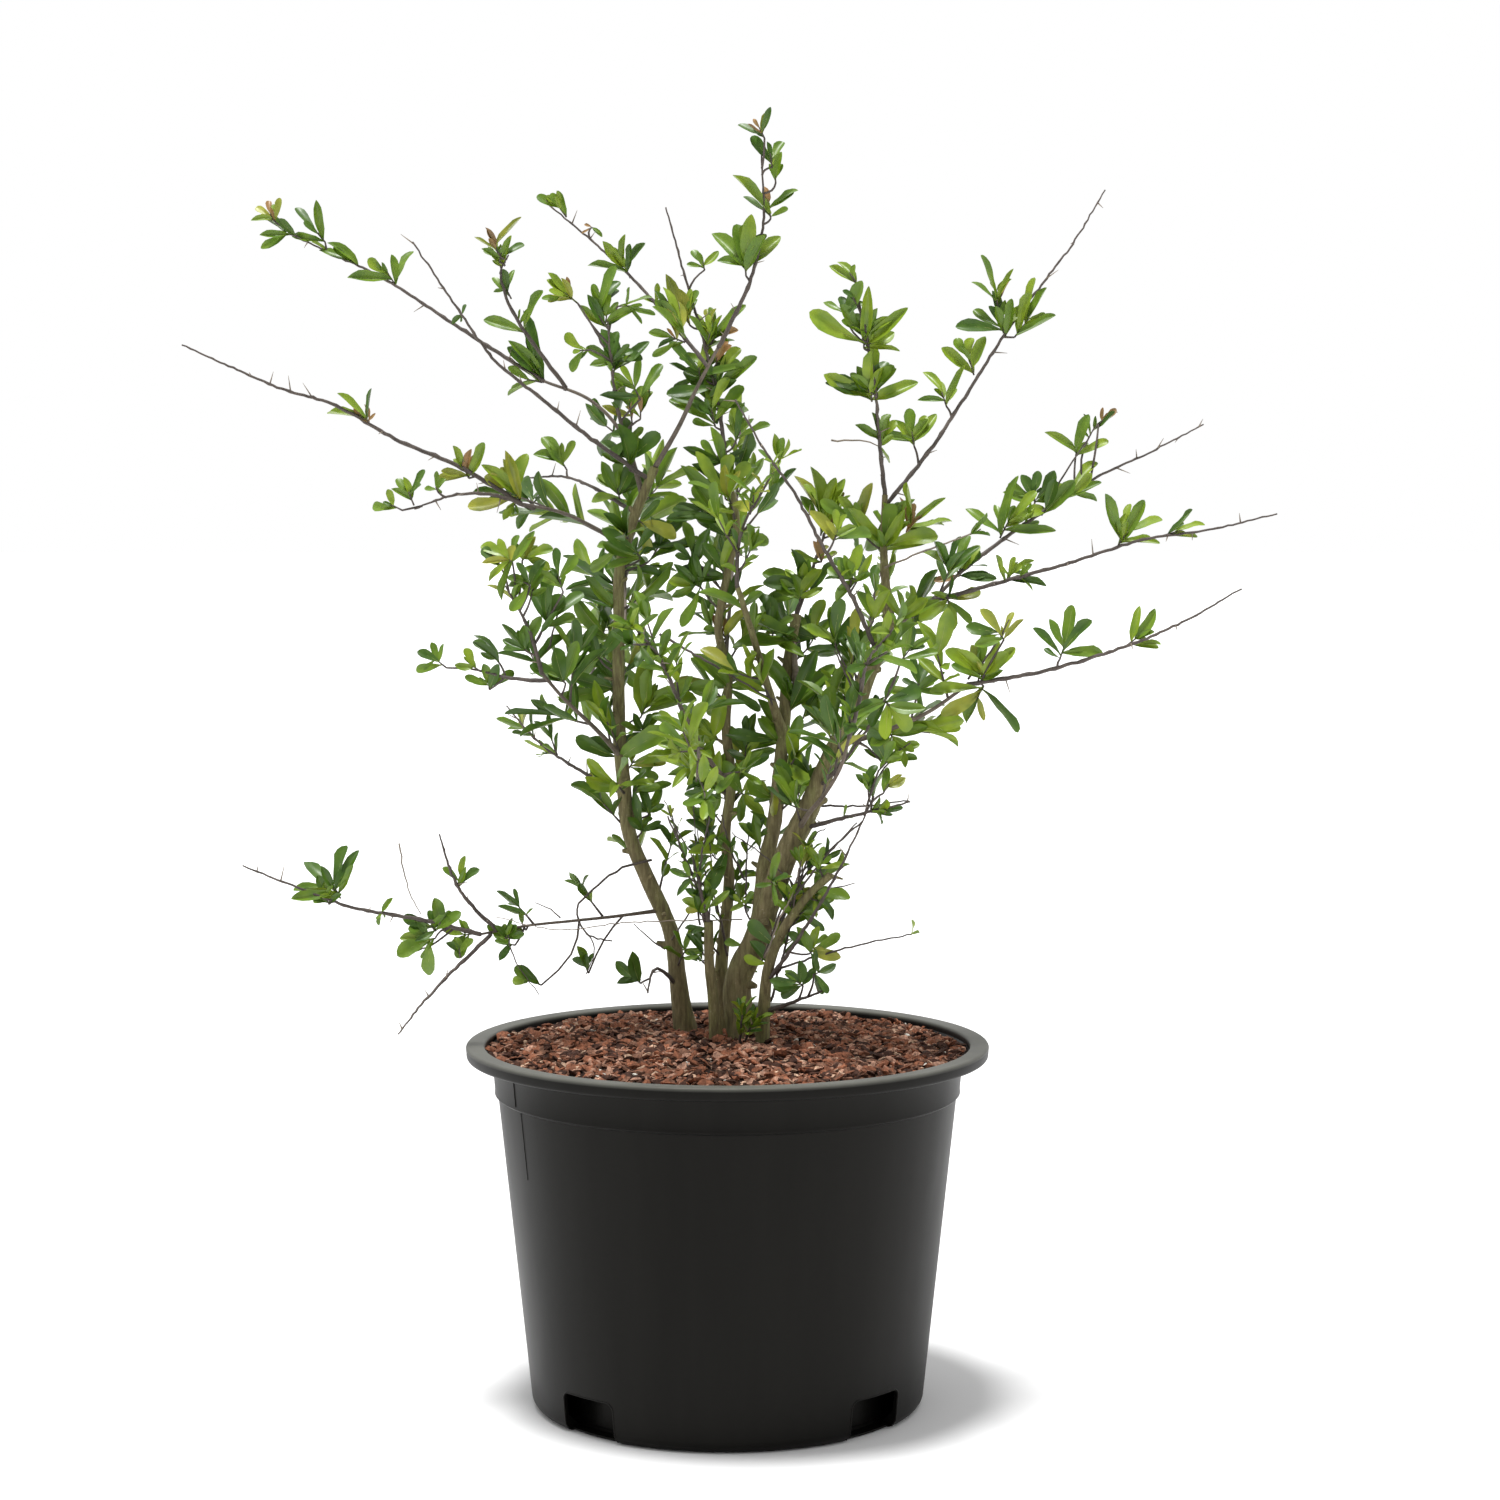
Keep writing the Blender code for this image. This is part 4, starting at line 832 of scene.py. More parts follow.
    def grow_tuft(self, route, share, shoot, size, turn, rng):
        """A tuft where the solid has one: sprays to both sides, or one ahead at a tip."""
        centre, along, radius = route.place(share)
        youth = min(1.0, max(0.0, share * YOUTH_GAIN - YOUTH_START))
        length = metres(shoot.leaf) * SPUR_SHARE
        if share == 1:
            foot = centre - along * length / 2
            self.spray(foot, along, length * TIP_SPRAY, size * SECOND_LEAF, youth, rng)
            return
        side = unit(np.cross(along, (sin(turn), cos(turn), 0.3)))
        lift = np.array((0, 0, SPUR_UP))
        heading = unit(SPUR_ALONG * along + SPUR_ASIDE * side + lift)
        self.spray(centre, heading, length, size, youth, rng)
        if rng.random() < self.settings.second_sprays and shoot.name not in LIGHT_SHOOTS:
            other = unit(SPUR_ALONG * along - SPUR_ASIDE * side + lift * SECOND_LIFT)
            self.spray(centre, other, length * rng.uniform(*SECOND_LENGTHS), size * SECOND_LEAF, youth, rng)
        leaves = self.whorl(centre, along, 3, size * TUFT_LEAF, rng)
        self.keep(leaves, self.deal_kind(youth, rng), youth, rng)

    def grow_shaped_tuft(self, limb, tuft, rng):
        """A fan of leaves as its row says, on a twig of its own where it stands off from its limb."""
        right, up, length = metres((tuft.right, tuft.up, tuft.length))
        off = sqrt(right * right + up * up)
        node = limb.place(tuft.at)[0] + np.array((right, rng.uniform(-TWIG_DEPTH, TWIG_DEPTH) * off, up))
        thick = self.settings.twig_size
        if off > TWIG_LEAST:
            foot = limb.place(max(0, tuft.at - TWIG_LEAN * off / limb.length()))[0]
            bend = rng.normal(0, TWIG_BEND * off, 3)
            share = np.linspace(0, 1, 5)[:, None]
            points = foot + (node - foot) * share + bend * np.sin(pi * share)
            self.twigs.append(Twig(points, np.linspace(*TWIG_RADII, 5) * thick, False))
        count = len(tuft.kinds)
        angles = np.radians(np.linspace(tuft.first, tuft.last, count) + rng.normal(0, FAN_SCATTER, count))
        lengths = length * rng.uniform(*FAN_LENGTHS, count)
        ways = np.stack([np.cos(angles), np.zeros(count), np.sin(angles)], axis=1) * lengths[:, None]
        spur = ways.mean(axis=0) * SPUR_REACH + np.array((0, rng.normal(0, SPUR_WANDER), 0))
        points = node + spur * np.array((0, 0.5, 1))[:, None]
        self.twigs.append(Twig(points, np.array(SPUR_RADII) * thick, False))
        for kind, way in zip(tuft.kinds, ways):
            shift = spur * rng.uniform(0, 1) * max(0, unit(spur).dot(unit(way)))
            size = BRONZE_SIZE if kind == "z" else FULL_SIZE
            shorter = np.linalg.norm(way) / np.linalg.norm(way - shift)
            breadth = min(BROADEST, tuft.width * WIDTH_STEP * rng.uniform(*FAN_WIDTHS) * shorter)
            self.keep_shaped(node + shift, (way - shift) * size, breadth, kind, rng)
        for _ in range(self.settings.small_leaves):
            pick = rng.integers(count)
            way = ways[pick] * rng.uniform(*SMALL_LENGTHS) + rng.normal(0, SMALL_WANDER, 3)
            foot = node + spur * rng.uniform(0, 1)
            self.keep_shaped(foot, way, rng.uniform(*SMALL_BREADTHS), tuft.kinds[pick], rng)

    def keep_shaped(self, foot, way, breadth, kind, rng):
        """Keep a leaf that points a way and shows a breadth from the front, if wood leaves it room."""
        angle, length = atan2(way[2], way[0]), np.linalg.norm(way)
        sign = 1 if cos(angle) > 0 else -1
        above = np.array((-sin(angle) * sign, 0, cos(angle) * sign))
        for attempt in range(LEAF_TRIES):
            lean = rng.uniform(-LEAN, LEAN) * (1 + MORE_LEAN * attempt)
            way = np.array((cos(angle), lean, sin(angle)))
            stretch = np.linalg.norm(way)
            along = way / stretch
            true = max(breadth * 1.02, rng.uniform(*TRUE_BREADTHS))
            frontal = min(FRONTAL[1], max(FRONTAL[0], breadth / true + rng.uniform(*FACING_WANDER)))
            face = np.array((0, -frontal, 0)) + above * sqrt(1 - frontal * frontal)
            face = unit(face - along * face.dot(along))
            leaf = Leaf(foot, along, face, length * min(stretch, LONGEST_STRETCH), true / LEAF_WIDTH,
                        KIND_LETTERS.index(kind))
            if self.wood.clear(leaf_outline(leaf)):
                self.leaves.append(leaf)
                return

    def add_thorn(self, centre, along, rng):
        """A thin straight thorn, square to its twig."""
        way = unit(np.cross(along, rng.normal(0, 1, 3)) + np.array((0, 0, THORN_LIFT)))
        length = rng.uniform(*THORN_LENGTHS)
        points = np.array([centre, centre + way * length * 0.5, centre + way * length])
        self.twigs.append(Twig(points, np.array(THORN_RADII), True))

    def knotted(self, route, root, rng):
        """The shoot's own stem, from inside its limb, with a knot at each node."""
        centres, radii = route.smooth(SHOOT_RINGS)
        share = np.linspace(0, 1, len(radii))
        taper = 1 - STEM_TAPER * share ** 2
        along = share * route.length() / self.settings.node_spacing
        knots = 1 + KNOT_SWELL * np.exp(-((along % 1 - 0.5) / KNOT_WIDTH) ** 2)
        wander = rng.normal(0, STEM_WANDER, centres.shape)
        wander[[0, -1]] = 0
        radii = radii * taper * knots * self.settings.twig_size
        return Twig(np.vstack([root, centres + wander]), np.concatenate([radii[:1], radii]), False)

    def grow_on_limb(self, name, seed):
        """Sprays that stand on a limb where the crown is dense, and a few on its bare foot."""
        rng = np.random.default_rng(seed)
        route = self.limb_routes[name]
        low, high = self.settings.dense_from, self.settings.dense_to
        for at in np.arange(rng.uniform(0.3, 0.9), 1000) * self.settings.limb_spray_spacing:
            if at > route.length():
                break
            centre, along, radius = route.place(at / route.length())
            way = np.cross(along, rng.normal(0, 1, 3)) * SPRAY_WAYS
            way = unit(way + 0.5 * along + np.array((0, 0, SPRAY_LIFT)))
            if rng.random() < self.settings.backward:
                way[1] = abs(way[1])
            height = centre[2] + rng.normal(0, HEIGHT_SCATTER)
            length, chance = rng.uniform(*LIMB_SPRAYS), rng.random()
            if height > high and chance > self.settings.high_sprays:
                continue
            bare = height < low
            if bare and chance > self.settings.low_sprays:
                continue
            size = self.settings.limb_leaf * (BARE_LEAF if bare else 1)
            self.spray(centre + way * radius * 0.7, way, length, size, LIMB_YOUTH, rng)

    def grow_fine_twig(self, twig, rng):
        """A thin twig through the places that the table gives, with a few small leaves."""
        radius = metres(twig.radius)
        route = Route.through(metres(twig.places), radius, radius * SPRAY_TAPER)
        centres, radii = route.smooth(TWIG_RINGS)
        wander = rng.normal(0, TWIG_WANDER, centres.shape)
        self.twigs.append(Twig(centres + wander, radii, twig.dry))
        for share in rng.uniform(*FINE_LEAFY, twig.leaves):
            centre, along, radius = route.place(share)
            leaves = self.whorl(centre, along, int(rng.integers(2, 4)), metres(twig.leaf), rng)
            self.keep(leaves, self.deal_kind(TWIG_YOUTH, rng), TWIG_YOUTH, rng)


# Node trees

def add_node(tree, kind, settings=None, sockets=None):
    """A node of a type, with its settings, and each socket set or linked."""
    made = tree.nodes.new(kind)
    for name, value in (settings or {}).items():
        setattr(made, name, value)
    for key, value in (sockets or {}).items():
        if isinstance(value, bpy.types.NodeSocket):
            tree.links.new(value, made.inputs[key])
        else:
            made.inputs[key].default_value = value
    return made


class Value:
    """A shader socket that takes part in Python expressions."""

    def __init__(self, shader, socket):
        self.shader = shader
        self.socket = socket

    def math(self, operation, first, second):
        return self.shader.node("ShaderNodeMath", {"operation": operation}, {0: first, 1: second})

    def __add__(self, other):
        return self.math("ADD", self, other)

    __radd__ = __add__

    def __mul__(self, other):
        return self.math("MULTIPLY", self, other)

    __rmul__ = __mul__


class Shader:
    """A material whose node tree is built from expressions."""

    def __init__(self, name, roughness, specular, **constants):
        self.material = bpy.data.materials.new(name)
        self.material.use_nodes = True
        self.tree = self.material.node_tree
        self.surface = self.tree.nodes["Principled BSDF"]
        self.surface.inputs["Roughness"].default_value = roughness
        self.surface.inputs["Specular IOR Level"].default_value = specular
        for socket, value in constants.items():
            self.surface.inputs[socket.replace("_", " ").title()].default_value = value

    def node(self, kind, settings=None, sockets=None, output=0):
        """One output of a node, as a value."""
        sockets = {key: value.socket if isinstance(value, Value) else value
                   for key, value in (sockets or {}).items()}
        return Value(self, add_node(self.tree, kind, settings, sockets).outputs[output])

    def place(self):
        """The Object coordinates of the surface."""
        return self.node("ShaderNodeTexCoord", output="Object")

    def stretched(self, vector, scale):
        """Coordinates scaled along each axis."""
        return self.node("ShaderNodeMapping", sockets={"Vector": vector, "Scale": scale})

    def noise(self, vector, scale, detail=3.0, roughness=0.55):
        sockets = {"Vector": vector, "Scale": scale, "Detail": detail, "Roughness": roughness}
        return self.node("ShaderNodeTexNoise", sockets=sockets)

    def span(self, value, low, high, to_low=0.0, to_high=1.0):
        """A value carried from one range to another, and held there."""
        sockets = {"Value": value, "From Min": low, "From Max": high, "To Min": to_low, "To Max": to_high}
        return self.node("ShaderNodeMapRange", sockets=sockets)

    def mix(self, factor, first, second):
        """Two colours mixed by a factor."""
        first, second = ((*c, 1) if isinstance(c, tuple) else c for c in (first, second))
        return self.node("ShaderNodeMix", {"data_type": "RGBA"}, {0: factor, 6: first, 7: second}, output=2)

    def paint(self, socket, value):
        self.tree.links.new(value.socket, self.surface.inputs[socket])

    def bump(self, height, strength, distance):
        """Relief too fine for the mesh."""
        sockets = {"Height": height, "Strength": strength, "Distance": distance}
        self.paint("Normal", self.node("ShaderNodeBump", sockets=sockets))


def shade(colour, factor):
    """A colour made lighter or darker."""
    return tuple(min(1.0, part * factor) for part in colour)


def plastic_material(settings):
    """Black moulded plastic: satin, with faint dust and flow marks down the wall, and the top of the rim
    painted lighter, partly as wear and partly as a painted highlight.
    """
    shader = Shader("pot_plastic", roughness=0.42, specular=settings.gloss,
                    specular_tint=(1.0, 0.965, 0.90, 1.0))
    place = shader.place()
    colour = tuple(settings.colour)
    dust = shader.noise(shader.stretched(place, (6, 6, 2.2)), 1.6, 4.0)
    streaks = shader.noise(shader.stretched(place, (30, 30, 1.2)), 2.0, 2.0)
    mark = shader.span(dust * 0.7 + streaks * 0.3, 0.38, 0.68)
    height = shader.node("ShaderNodeSeparateXYZ", sockets={0: place}, output=2)
    # The top of the rim is painted lighter: partly wear, partly a painted highlight where the light falls on
    # it.
    wear_and_highlight = shader.span(height, POT_HEIGHT - WEAR_AND_HIGHLIGHT_DEPTH, POT_HEIGHT - 0.0004)
    tone = shader.mix(mark, shade(colour, 0.75), shade(colour, 1.7))
    wear_and_highlight = wear_and_highlight * shader.span(mark, 0.0, 1.0, 0.7, 1.0)
    shader.paint("Base Color", shader.mix(wear_and_highlight, tone, tuple(settings.wear_and_highlight)))
    grain = shader.noise(place, 900.0, 2.0)
    shader.paint("Roughness", shader.span(dust, 0.3, 0.7, 0.36, 0.50))
    shader.bump(grain, 0.08, 0.0004)
    return shader.material


def bark_material(settings):
    """Thin bark: grey-brown and olive, streaked up the stem, with paler flecks."""
    shader = Shader("bark", roughness=0.82, specular=0.25)
    place = shader.place()
    colour = tuple(settings.colour)
    along = shader.stretched(place, (1.0, 1.0, 0.16))
    streaks = shader.noise(along, 420.0, 5.0, 0.62)
    patches = shader.noise(shader.stretched(place, (1.0, 1.0, 0.5)), 45.0, 3.0)
    flecks = shader.noise(place, 800.0, 2.0)
    tone = shader.mix(shader.span(patches, 0.40, 0.62), shade(colour, 0.82), tuple(settings.olive))
    tone = shader.mix(shader.span(streaks, 0.35, 0.65), tone, shade(colour, 0.42))
    pale = shader.span(flecks, 0.60, 0.72) * shader.span(streaks, 0.5, 0.35)
    shader.paint("Base Color", shader.mix(pale * 0.55, tone, tuple(settings.pale)))
    shader.paint("Roughness", shader.span(streaks, 0.3, 0.7, 0.70, 0.92))
    shader.bump(streaks * 0.7 + flecks * 0.3, 0.6, 0.0006)
    return shader.material


def twig_material(name, colour, roughness):
    """A thin twig: smooth skin with darker and paler lengths."""
    shader = Shader(name, roughness=roughness, specular=0.35)
    place = shader.place()
    lengths = shader.noise(place, 60.0, 3.0)
    fine = shader.noise(place, 700.0, 3.0)
    tone = shader.span(lengths * 0.6 + fine * 0.4, 0.35, 0.65)
    shader.paint("Base Color", shader.mix(tone, shade(colour, 0.60), shade(colour, 1.45)))
    shader.bump(fine, 0.3, 0.0003)
    return shader.material


def leaf_material(name, colour):
    """A glossy leaf: one green, a little uneven, with low blotches in its relief."""
    shader = Shader(name, roughness=0.38, specular=0.45)
    place = shader.place()
    blotches = shader.noise(place, 70.0, 1.0)
    fine = shader.noise(place, 320.0, 2.0)
    tone = shader.span(blotches * 0.8 + fine * 0.2, 0.36, 0.64)
    warm = (min(1.0, colour[0] * 1.35), min(1.0, colour[1] * 1.14), colour[2] * 1.05)
    shader.paint("Base Color", shader.mix(tone, shade(colour, 0.80), warm))
    shader.paint("Roughness", shader.span(fine, 0.3, 0.7, 0.33, 0.46))
    shader.bump(blotches, 0.30, 0.0008)
    return shader.material


def chip_material(name, colour):
    """Weathered bark: fibrous, with darker grain and lighter and darker patches."""
    shader = Shader(name, roughness=0.88, specular=0.25)
    place = shader.place()
    fibres = shader.noise(shader.stretched(place, (1.0, 0.35, 0.6)), 620.0, 4.0, 0.65)
    patches = shader.noise(place, 110.0, 3.0)
    tone = shader.mix(shader.span(patches, 0.35, 0.65), shade(colour, 0.62), shade(colour, 1.35))
    shader.paint("Base Color", shader.mix(shader.span(fibres, 0.42, 0.66), tone, shade(colour, 0.38)))
    shader.bump(fibres, 0.7, 0.0008)
    return shader.material


# Meshes

def mesh_from(bm, name):
    mesh = bpy.data.meshes.new(name)
    bm.to_mesh(mesh)
    bm.free()
    return mesh


def shown(name, data):
    """An object in the scene."""
    made = bpy.data.objects.new(name, data)
    bpy.context.scene.collection.objects.link(made)
    return made


def finished(name, bm, material, smooth=True):
    """A piece from a bmesh."""
    return finish_piece(name, mesh_from(bm, name), material, smooth)


def finish_piece(name, mesh, material, smooth=True):
    """A piece, which rides on the plant's one body."""
    mesh.materials.clear()
    mesh.materials.append(material)
    if smooth:
        mesh.shade_smooth()
    piece = shown(name, mesh)
    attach(piece, "root")
    return piece


def ring_of(bm, radius, z, sides):
    """A level ring of points round Z."""
    return [bm.verts.new((radius * cos(tau * i / sides), radius * sin(tau * i / sides), z))
            for i in range(sides)]


def bridge(bm, near, far):
    """The faces between two rings."""
    for i in range(len(near)):
        j = (i + 1) % len(near)
        bm.faces.new((near[i], near[j], far[j], far[i]))


def frames_along(centres):
    """Two square directions at each point of a line, without twist."""
    tangents = np.gradient(centres, axis=0)
    tangents /= np.linalg.norm(tangents, axis=1)[:, None]
    across = Vector(tangents[0]).orthogonal().normalized()
    frames = []
    for tangent in tangents:
        tangent = Vector(tangent)
        across = (across - tangent * across.dot(tangent)).normalized()
        frames.append((np.array(across), np.array(tangent.cross(across))))
    return frames


def add_tube(bm, centres, radii, sides, relief=None):
    """A closed tube; relief gives the skin's height over the radius at an angle and length."""
    rings = []
    run = 0.0
    for i, (centre, radius, (across, aside)) in enumerate(zip(centres, radii, frames_along(centres))):
        if i:
            run += np.linalg.norm(centre - centres[i - 1])
        ring = []
        for k in range(sides):
            angle = tau * k / sides
            size = radius + (relief(angle, run, radius) if relief else 0)
            ring.append(bm.verts.new(centre + (across * cos(angle) + aside * sin(angle)) * size))
        rings.append(ring)
    for low, high in zip(rings, rings[1:]):
        bridge(bm, low, high)
    bm.faces.new(reversed(rings[0]))
    bm.faces.new(rings[-1])


def turned(profile, sides):
    """A closed body turned round Z from a profile that starts and ends on the axis."""
    bm = bmesh.new()
    foot = bm.verts.new((0, 0, profile[0][1]))
    head = bm.verts.new((0, 0, profile[-1][1]))
    rings = [ring_of(bm, radius, z, sides) for radius, z in profile[1:-1]]
    for i in range(sides):
        j = (i + 1) % sides
        bm.faces.new((foot, rings[0][j], rings[0][i]))
        for low, high in zip(rings, rings[1:]):
            bm.faces.new((low[i], low[j], high[j], high[i]))
        bm.faces.new((head, rings[-1][i], rings[-1][j]))
    bmesh.ops.recalc_face_normals(bm, faces=bm.faces)
    return bm


def arc(centre_r, centre_z, radius, start, end, steps):
    """Points of a profile along a round corner, between two angles."""
    angles = (start + (end - start) * i / steps for i in range(steps + 1))
    return [(centre_r + radius * cos(a), centre_z + radius * sin(a)) for a in angles]


# Geometry Nodes

class Tree:
    """A Geometry Nodes tree with named inputs."""

    def __init__(self, name, inputs):
        self.group = bpy.data.node_groups.new(name, "GeometryNodeTree")
        self.group.is_modifier = True
        face = self.group.interface
        face.new_socket("Geometry", in_out="INPUT", socket_type="NodeSocketGeometry")
        for label, kind in inputs.items():
            face.new_socket(label, in_out="INPUT", socket_type=kind)
        face.new_socket("Geometry", in_out="OUTPUT", socket_type="NodeSocketGeometry")
        self.inputs = self.group.nodes.new("NodeGroupInput").outputs
        self.result = self.group.nodes.new("NodeGroupOutput").inputs[0]

    def node(self, kind, settings=None, sockets=None, output=0):
        """One output of a node."""
        return add_node(self.group, kind, settings, sockets).outputs[output]

    def attribute(self, name, kind):
        return self.node("GeometryNodeInputNamedAttribute", {"data_type": kind}, {"Name": name})

    def stand_shapes(self, points, euler, size, picks):
        """A shape on each point, as real meshes with the input material, is the tree's result."""
        shapes = self.node("GeometryNodeCollectionInfo", {"transform_space": "ORIGINAL"},
                           {"Collection": self.inputs["Shapes"], "Separate Children": True,
                            "Reset Children": True})
        turn = self.node("FunctionNodeEulerToRotation", sockets={0: euler})
        stood = self.node("GeometryNodeInstanceOnPoints", sockets={
            "Points": points, "Instance": shapes, "Pick Instance": True, "Rotation": turn,
            "Scale": size, **picks})
        real = self.node("GeometryNodeRealizeInstances", sockets={"Geometry": stood})
        painted = self.node("GeometryNodeSetMaterial",
                            sockets={"Geometry": real, "Material": self.inputs["Material"]})
        self.group.links.new(painted, self.result)


def placed_shapes_tree():
    """Shapes from a collection, one on each point, turned, sized and chosen by its attributes."""
    tree = Tree("placed_shapes", {"Shapes": "NodeSocketCollection", "Material": "NodeSocketMaterial"})
    turn, size = (tree.attribute(label, "FLOAT_VECTOR") for label in ("turn", "size"))
    tree.stand_shapes(tree.inputs["Geometry"], turn, size,
                      {"Instance Index": tree.attribute("shape", "INT")})
    return tree.group


def scattered_shapes_tree():
    """Shapes strewn over a surface by a seed, lying nearly flat on it."""
    tree = Tree("scattered_shapes", {
        "Shapes": "NodeSocketCollection", "Density": "NodeSocketFloat", "Seed": "NodeSocketInt",
        "Least Size": "NodeSocketFloat", "Greatest Size": "NodeSocketFloat", "Tilt": "NodeSocketFloat",
        "Material": "NodeSocketMaterial"})
    spots = tree.group.nodes.new("GeometryNodeDistributePointsOnFaces")
    for label, source in (("Mesh", "Geometry"), ("Density", "Density"), ("Seed", "Seed")):
        tree.group.links.new(tree.inputs[source], spots.inputs[label])
    size = tree.node("FunctionNodeRandomValue", {"data_type": "FLOAT"},
                     {2: tree.inputs["Least Size"], 3: tree.inputs["Greatest Size"],
                      "Seed": tree.inputs["Seed"]}, output=1)
    tilt = tree.inputs["Tilt"]
    tilt_back = tree.node("ShaderNodeMath", {"operation": "MULTIPLY"}, {0: tilt, 1: -1.0})
    low = tree.node("ShaderNodeCombineXYZ", sockets={0: tilt_back, 1: tilt_back, 2: -pi})
    high = tree.node("ShaderNodeCombineXYZ", sockets={0: tilt, 1: tilt, 2: pi})
    euler = tree.node("FunctionNodeRandomValue", {"data_type": "FLOAT_VECTOR"},
                      {0: low, 1: high, "Seed": tree.inputs["Seed"]})
    tree.stand_shapes(spots.outputs["Points"], euler, size, {})
    return tree.group


def grown(name, base, group, values, slot, smooth=True):
    """A plain-mesh piece: a tree's result on a base mesh, with inputs given by name."""
    carrier = shown(name + "_base", base)
    modifier = carrier.modifiers.new("grow", "NODES")
    modifier.node_group = group
    for item in group.interface.items_tree:
        if item.item_type == "SOCKET" and item.in_out == "INPUT" and item.name in values:
            modifier[item.identifier] = values[item.name]
    depsgraph = bpy.context.evaluated_depsgraph_get()
    mesh = bpy.data.meshes.new_from_object(carrier.evaluated_get(depsgraph))
    bpy.data.objects.remove(carrier)
    return finish_piece(name, mesh, values["Material"], smooth)


def shape_collection(name, meshes):
    """A collection of shapes, out of the scene."""
    collection = bpy.data.collections.new(name)
    for i, mesh in enumerate(meshes):
        collection.objects.link(bpy.data.objects.new(f"{name}_{i:02d}", mesh))
    return collection


def remove_collection(collection):
    for shape in list(collection.objects):
        bpy.data.objects.remove(shape)
    bpy.data.collections.remove(collection)


# Pot

def wall_radius(z):
    """The outer radius of the tapering wall below the collar."""
    top = COLLAR_FOOT_RADIUS - COLLAR_STEP
    return BASE_RADIUS + (top - BASE_RADIUS) * z / COLLAR_FOOT_Z


def skin_radius(z):
    """The outer radius of the pot's wall, corner, step and collar."""
    if z < BASE_CORNER:
        centre = wall_radius(BASE_CORNER) - BASE_CORNER
        return centre + sqrt(max(0.0, BASE_CORNER ** 2 - (BASE_CORNER - z) ** 2))
    if z < COLLAR_FOOT_Z:
        return wall_radius(z)
    share = (z - COLLAR_FOOT_Z) / (POT_HEIGHT - LIP_DEPTH - COLLAR_FOOT_Z)
    return COLLAR_FOOT_RADIUS + (COLLAR_TOP_RADIUS - COLLAR_FOOT_RADIUS) * share


def pot_profile():
    """The pot's section, from the axis under its foot, round the lip, to the axis inside."""
    lip_foot = POT_HEIGHT - LIP_DEPTH
    corner = wall_radius(BASE_CORNER) - BASE_CORNER
    outer = [(0, BASE_LIFT), (FOOT_RING[0], BASE_LIFT), (FOOT_RING[1], 0.0)]
    outer += arc(corner, BASE_CORNER, BASE_CORNER, -pi / 2, 0, 8)
    outer += [(wall_radius(z), z) for z in np.linspace(0.02, COLLAR_FOOT_Z - 0.0006, 12)]
    outer += [
        (wall_radius(COLLAR_FOOT_Z) + 0.0003, COLLAR_FOOT_Z - 0.0002),
        (COLLAR_FOOT_RADIUS - 0.0004, COLLAR_FOOT_Z + 0.0004),
        (COLLAR_FOOT_RADIUS + 0.0003, COLLAR_FOOT_Z + 0.0012),
        (COLLAR_FOOT_RADIUS + 0.0003, COLLAR_FOOT_Z + 0.0024),
        (COLLAR_FOOT_RADIUS + 0.0001, COLLAR_FOOT_Z + 0.0034),
        (COLLAR_TOP_RADIUS - 0.0003, lip_foot - 0.0022),
        (COLLAR_TOP_RADIUS + 0.0006, lip_foot - 0.0006),
        (COLLAR_TOP_RADIUS + 0.0020, lip_foot),
        (RIM_RADIUS - 0.0048, lip_foot + 0.0002),
    ]
    outer += arc(RIM_RADIUS - 0.0030, lip_foot + 0.0028, 0.0026, -pi / 2 + 0.3, -0.15, 5)
    outer += arc(RIM_RADIUS - 0.0020, POT_HEIGHT - 0.0020, 0.0020, 0.1, pi / 2, 5)
    outer += [(RIM_INNER_RADIUS + 0.0030, POT_HEIGHT - 0.0001)]
    inner = arc(RIM_INNER_RADIUS + 0.0018, POT_HEIGHT - 0.0022, 0.0020, pi / 2, pi, 5)
    inner += [
        (RIM_INNER_RADIUS - 0.0006, POT_HEIGHT - 0.0050),
        (COLLAR_TOP_RADIUS - POT_WALL, lip_foot),
        (COLLAR_FOOT_RADIUS - POT_WALL - COLLAR_STEP, COLLAR_FOOT_Z),
        (wall_radius(FLOOR_CORNER_Z) - POT_WALL, FLOOR_CORNER_Z),
        (wall_radius(FLOOR_CORNER_Z) - POT_WALL - FLOOR_CORNER, FLOOR_Z),
        (0, FLOOR_Z),
    ]
    return outer + inner


def on_wall(turn, across, z, proud=0.0):
    """A point on the pot's skin, so far across from a turn, at a height."""
    radius = skin_radius(z)
    angle = turn + across / radius
    return np.array((cos(angle), sin(angle), 0)) * (radius + proud) + np.array((0, 0, z))


def notch_outline(half, top, corner, foot):
    """The sides and top of a foot notch, as (across, z), with round upper corners."""
    points = [(-half, z) for z in np.linspace(foot, top - corner, 6)]
    points += [(-half + corner - corner * cos(a), top - corner + corner * sin(a))
               for a in np.linspace(0.3, pi / 2, 5)]
    points += [(x, top) for x in np.linspace(-half + corner, half - corner, 6)[1:-1]]
    return points + [(-x, z) for x, z in reversed(points[:11])]


